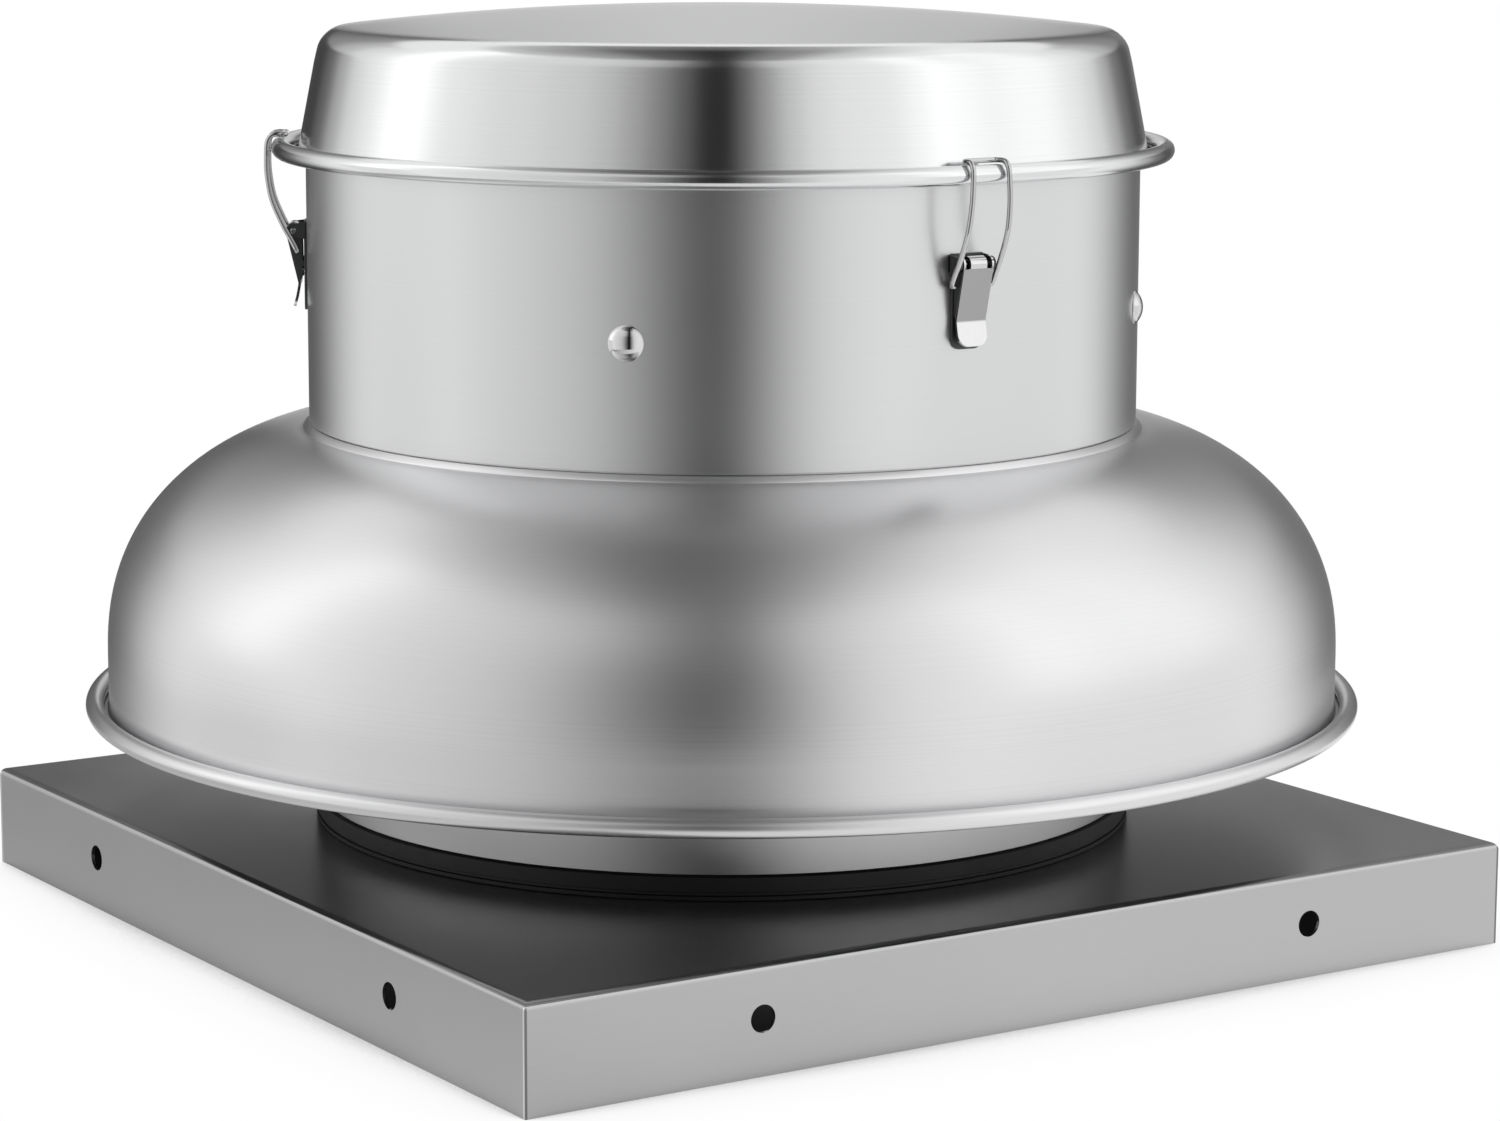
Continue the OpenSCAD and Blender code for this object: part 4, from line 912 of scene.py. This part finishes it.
def pressed_base(name, turn):
    """The base plate, curved to the band and rounded at its foot, with two ears."""
    half_width = 7.6
    corner_round = 4.0
    foot_level = 266.4
    top_level = 305.0
    steps_across = 16
    outside = band_out + 1.2
    shape = bmesh.new()
    columns = []
    for k in range(steps_across + 1):
        across = -half_width + 2 * half_width * k / steps_across
        corner = max(abs(across) - (half_width - corner_round), 0)
        foot = foot_level + corner_round - math.sqrt(corner_round ** 2 - corner ** 2)
        corners = ((band_out, foot), (band_out, top_level), (outside, top_level), (outside, foot))
        columns.append([
            shape.verts.new((radius * math.cos(across / radius), radius * math.sin(across / radius), z))
            for radius, z in corners])
    join_rings(shape, columns)
    add_plates(shape, ear, inside=7.65, outside=8.65)
    return pressed_piece(name, shape, turn)


def pressed_lever(name, turn):
    """The lever's sheet with its roll and lip, and a cheek at each side."""
    shape = bmesh.new()
    rows = []
    for k, (x, z, half) in enumerate(lever_web):
        before = Vector(lever_web[max(k - 1, 0)][:2])
        after = Vector(lever_web[min(k + 1, len(lever_web) - 1)][:2])
        along = (after - before).normalized()
        side = Vector((along.y, -along.x)) * lever_half_sheet
        rows.append([shape.verts.new((x + way * side.x, y, z + way * side.y))
                     for way, y in ((1, half), (1, -half), (-1, -half), (-1, half))])
    join_rings(shape, rows)
    add_plates(shape, cheek, inside=6.4, outside=7.4)
    return pressed_piece(name, shape, turn)


sweeping, given = new_tree("wire_along_path", (("Path", "Geometry"), ("Wire radius", "Float")), "Wire")
line = add_node(sweeping, "GeometryNodeMeshToCurve", None, {"Mesh": given["Path"]})
bent = add_node(sweeping, "GeometryNodeCurveSplineType", {"spline_type": "CATMULL_ROM"}, {
    "Curve": line.outputs["Curve"]})
finer = add_node(sweeping, "GeometryNodeSetSplineResolution", {"Resolution": 6}, {0: bent.outputs["Curve"]})
section = add_node(sweeping, "GeometryNodeCurvePrimitiveCircle", {"Resolution": 20}, {
    "Radius": given["Wire radius"]})
swept = add_node(sweeping, "GeometryNodeCurveToMesh", {"Fill Caps": True}, {
    "Curve": finer.outputs[0], "Profile Curve": section.outputs["Curve"]})
end_tree(sweeping, swept.outputs["Mesh"], given, "Wire")


def bent_wire(name, path, turn):
    """Round wire along a smooth path, swept by the tree above."""
    line_mesh = bpy.data.meshes.new(name + "_path")
    line_mesh.from_pydata([placed(turn) @ Vector(point) for point in path],
                          [(k, k + 1) for k in range(len(path) - 1)], [])
    carrier = add_object(name + "_carrier", line_mesh)
    made = run_tree(carrier, sweeping, {"Wire radius": wire_radius / 1000}, name)
    shape = bmesh.new()
    shape.from_mesh(made)
    bmesh.ops.recalc_face_normals(shape, faces=shape.faces)
    shape.to_mesh(made)
    shape.free()
    smooth(made, 40)
    return add_object(name, made)


# Satin stainless: drawn sheet with a short up and down grain, duller than the buffed roll and lip, and
# painted darker than them as painted shade
satin_steel_painted_shade = grained("satin_stainless_painted_shade", dark="A6A6A7", light="ADADAE", roughness=(0.22, 0.27),
                      grain=(1600, 1600, 90), relief=0.02, shader=bare_metal)
# Drawn stainless wire: a smooth skin from the die, a little greyer than the polished heads and lips
drawn_wire = grained("drawn_stainless_wire", dark="BEBEBF", light="CCCCCD", roughness=(0.04, 0.09),
                     grain=(900, 900, 900), relief=0.03, shader=bare_metal)
# Stainless of the base and the lever's cheeks: matt, with its colour darkened as painted shade between the
# bright faces
matt_steel_painted_shade = grained("matt_stainless_painted_shade", dark="4C4D4E", light="5E5F60", roughness=(0.38, 0.48),
                        grain=(1600, 1600, 1600), relief=0.1, shader=bare_metal)
# The lever's sheet is satin and painted darker as painted shade between these two heights in metres, and
# polished and brighter below and above them, which paints a highlight on the roll and lip
shaded_satin_from = 0.278
shaded_satin_to = 0.2993
first_latch_turn = -90
latch_spacing = 120
for number in (1, 2, 3):
    turn = math.radians(first_latch_turn + latch_spacing * (number - 1))
    base = pressed_base(f"latch_base_plate_{number}", turn)
    finish_piece(base, matt_steel_painted_shade, "housing", "stainless", f"latch_base_{number}")
    lever = pressed_lever(f"latch_lever_press_{number}", turn)
    finish_piece(lever, satin_steel_painted_shade, f"lever_{number}", "stainless", f"latch_lever_{number}")
    lever.data.materials.append(polished)
    lever.data.materials.append(matt_steel_painted_shade)
    along_band = Vector((-math.sin(turn), math.cos(turn), 0))
    for polygon in lever.data.polygons:
        # The cheeks take the painted shade
        if abs(polygon.normal.dot(along_band)) > 0.9:
            polygon.material_index = 2
        elif not shaded_satin_from < polygon.center.z < shaded_satin_to:
            polygon.material_index = 1
    bail = bent_wire(f"latch_bail_wire_{number}", bail_path, turn)
    finish_piece(bail, drawn_wire, f"bail_{number}", "stainless", f"latch_bail_{number}")
for node, name in (("latch_hinge_pins", "hinge_pin_set"), ("latch_rivets", "latch_rivet_set")):
    finish_piece(merged_copy(node, name), polished, "housing", "stainless", node)
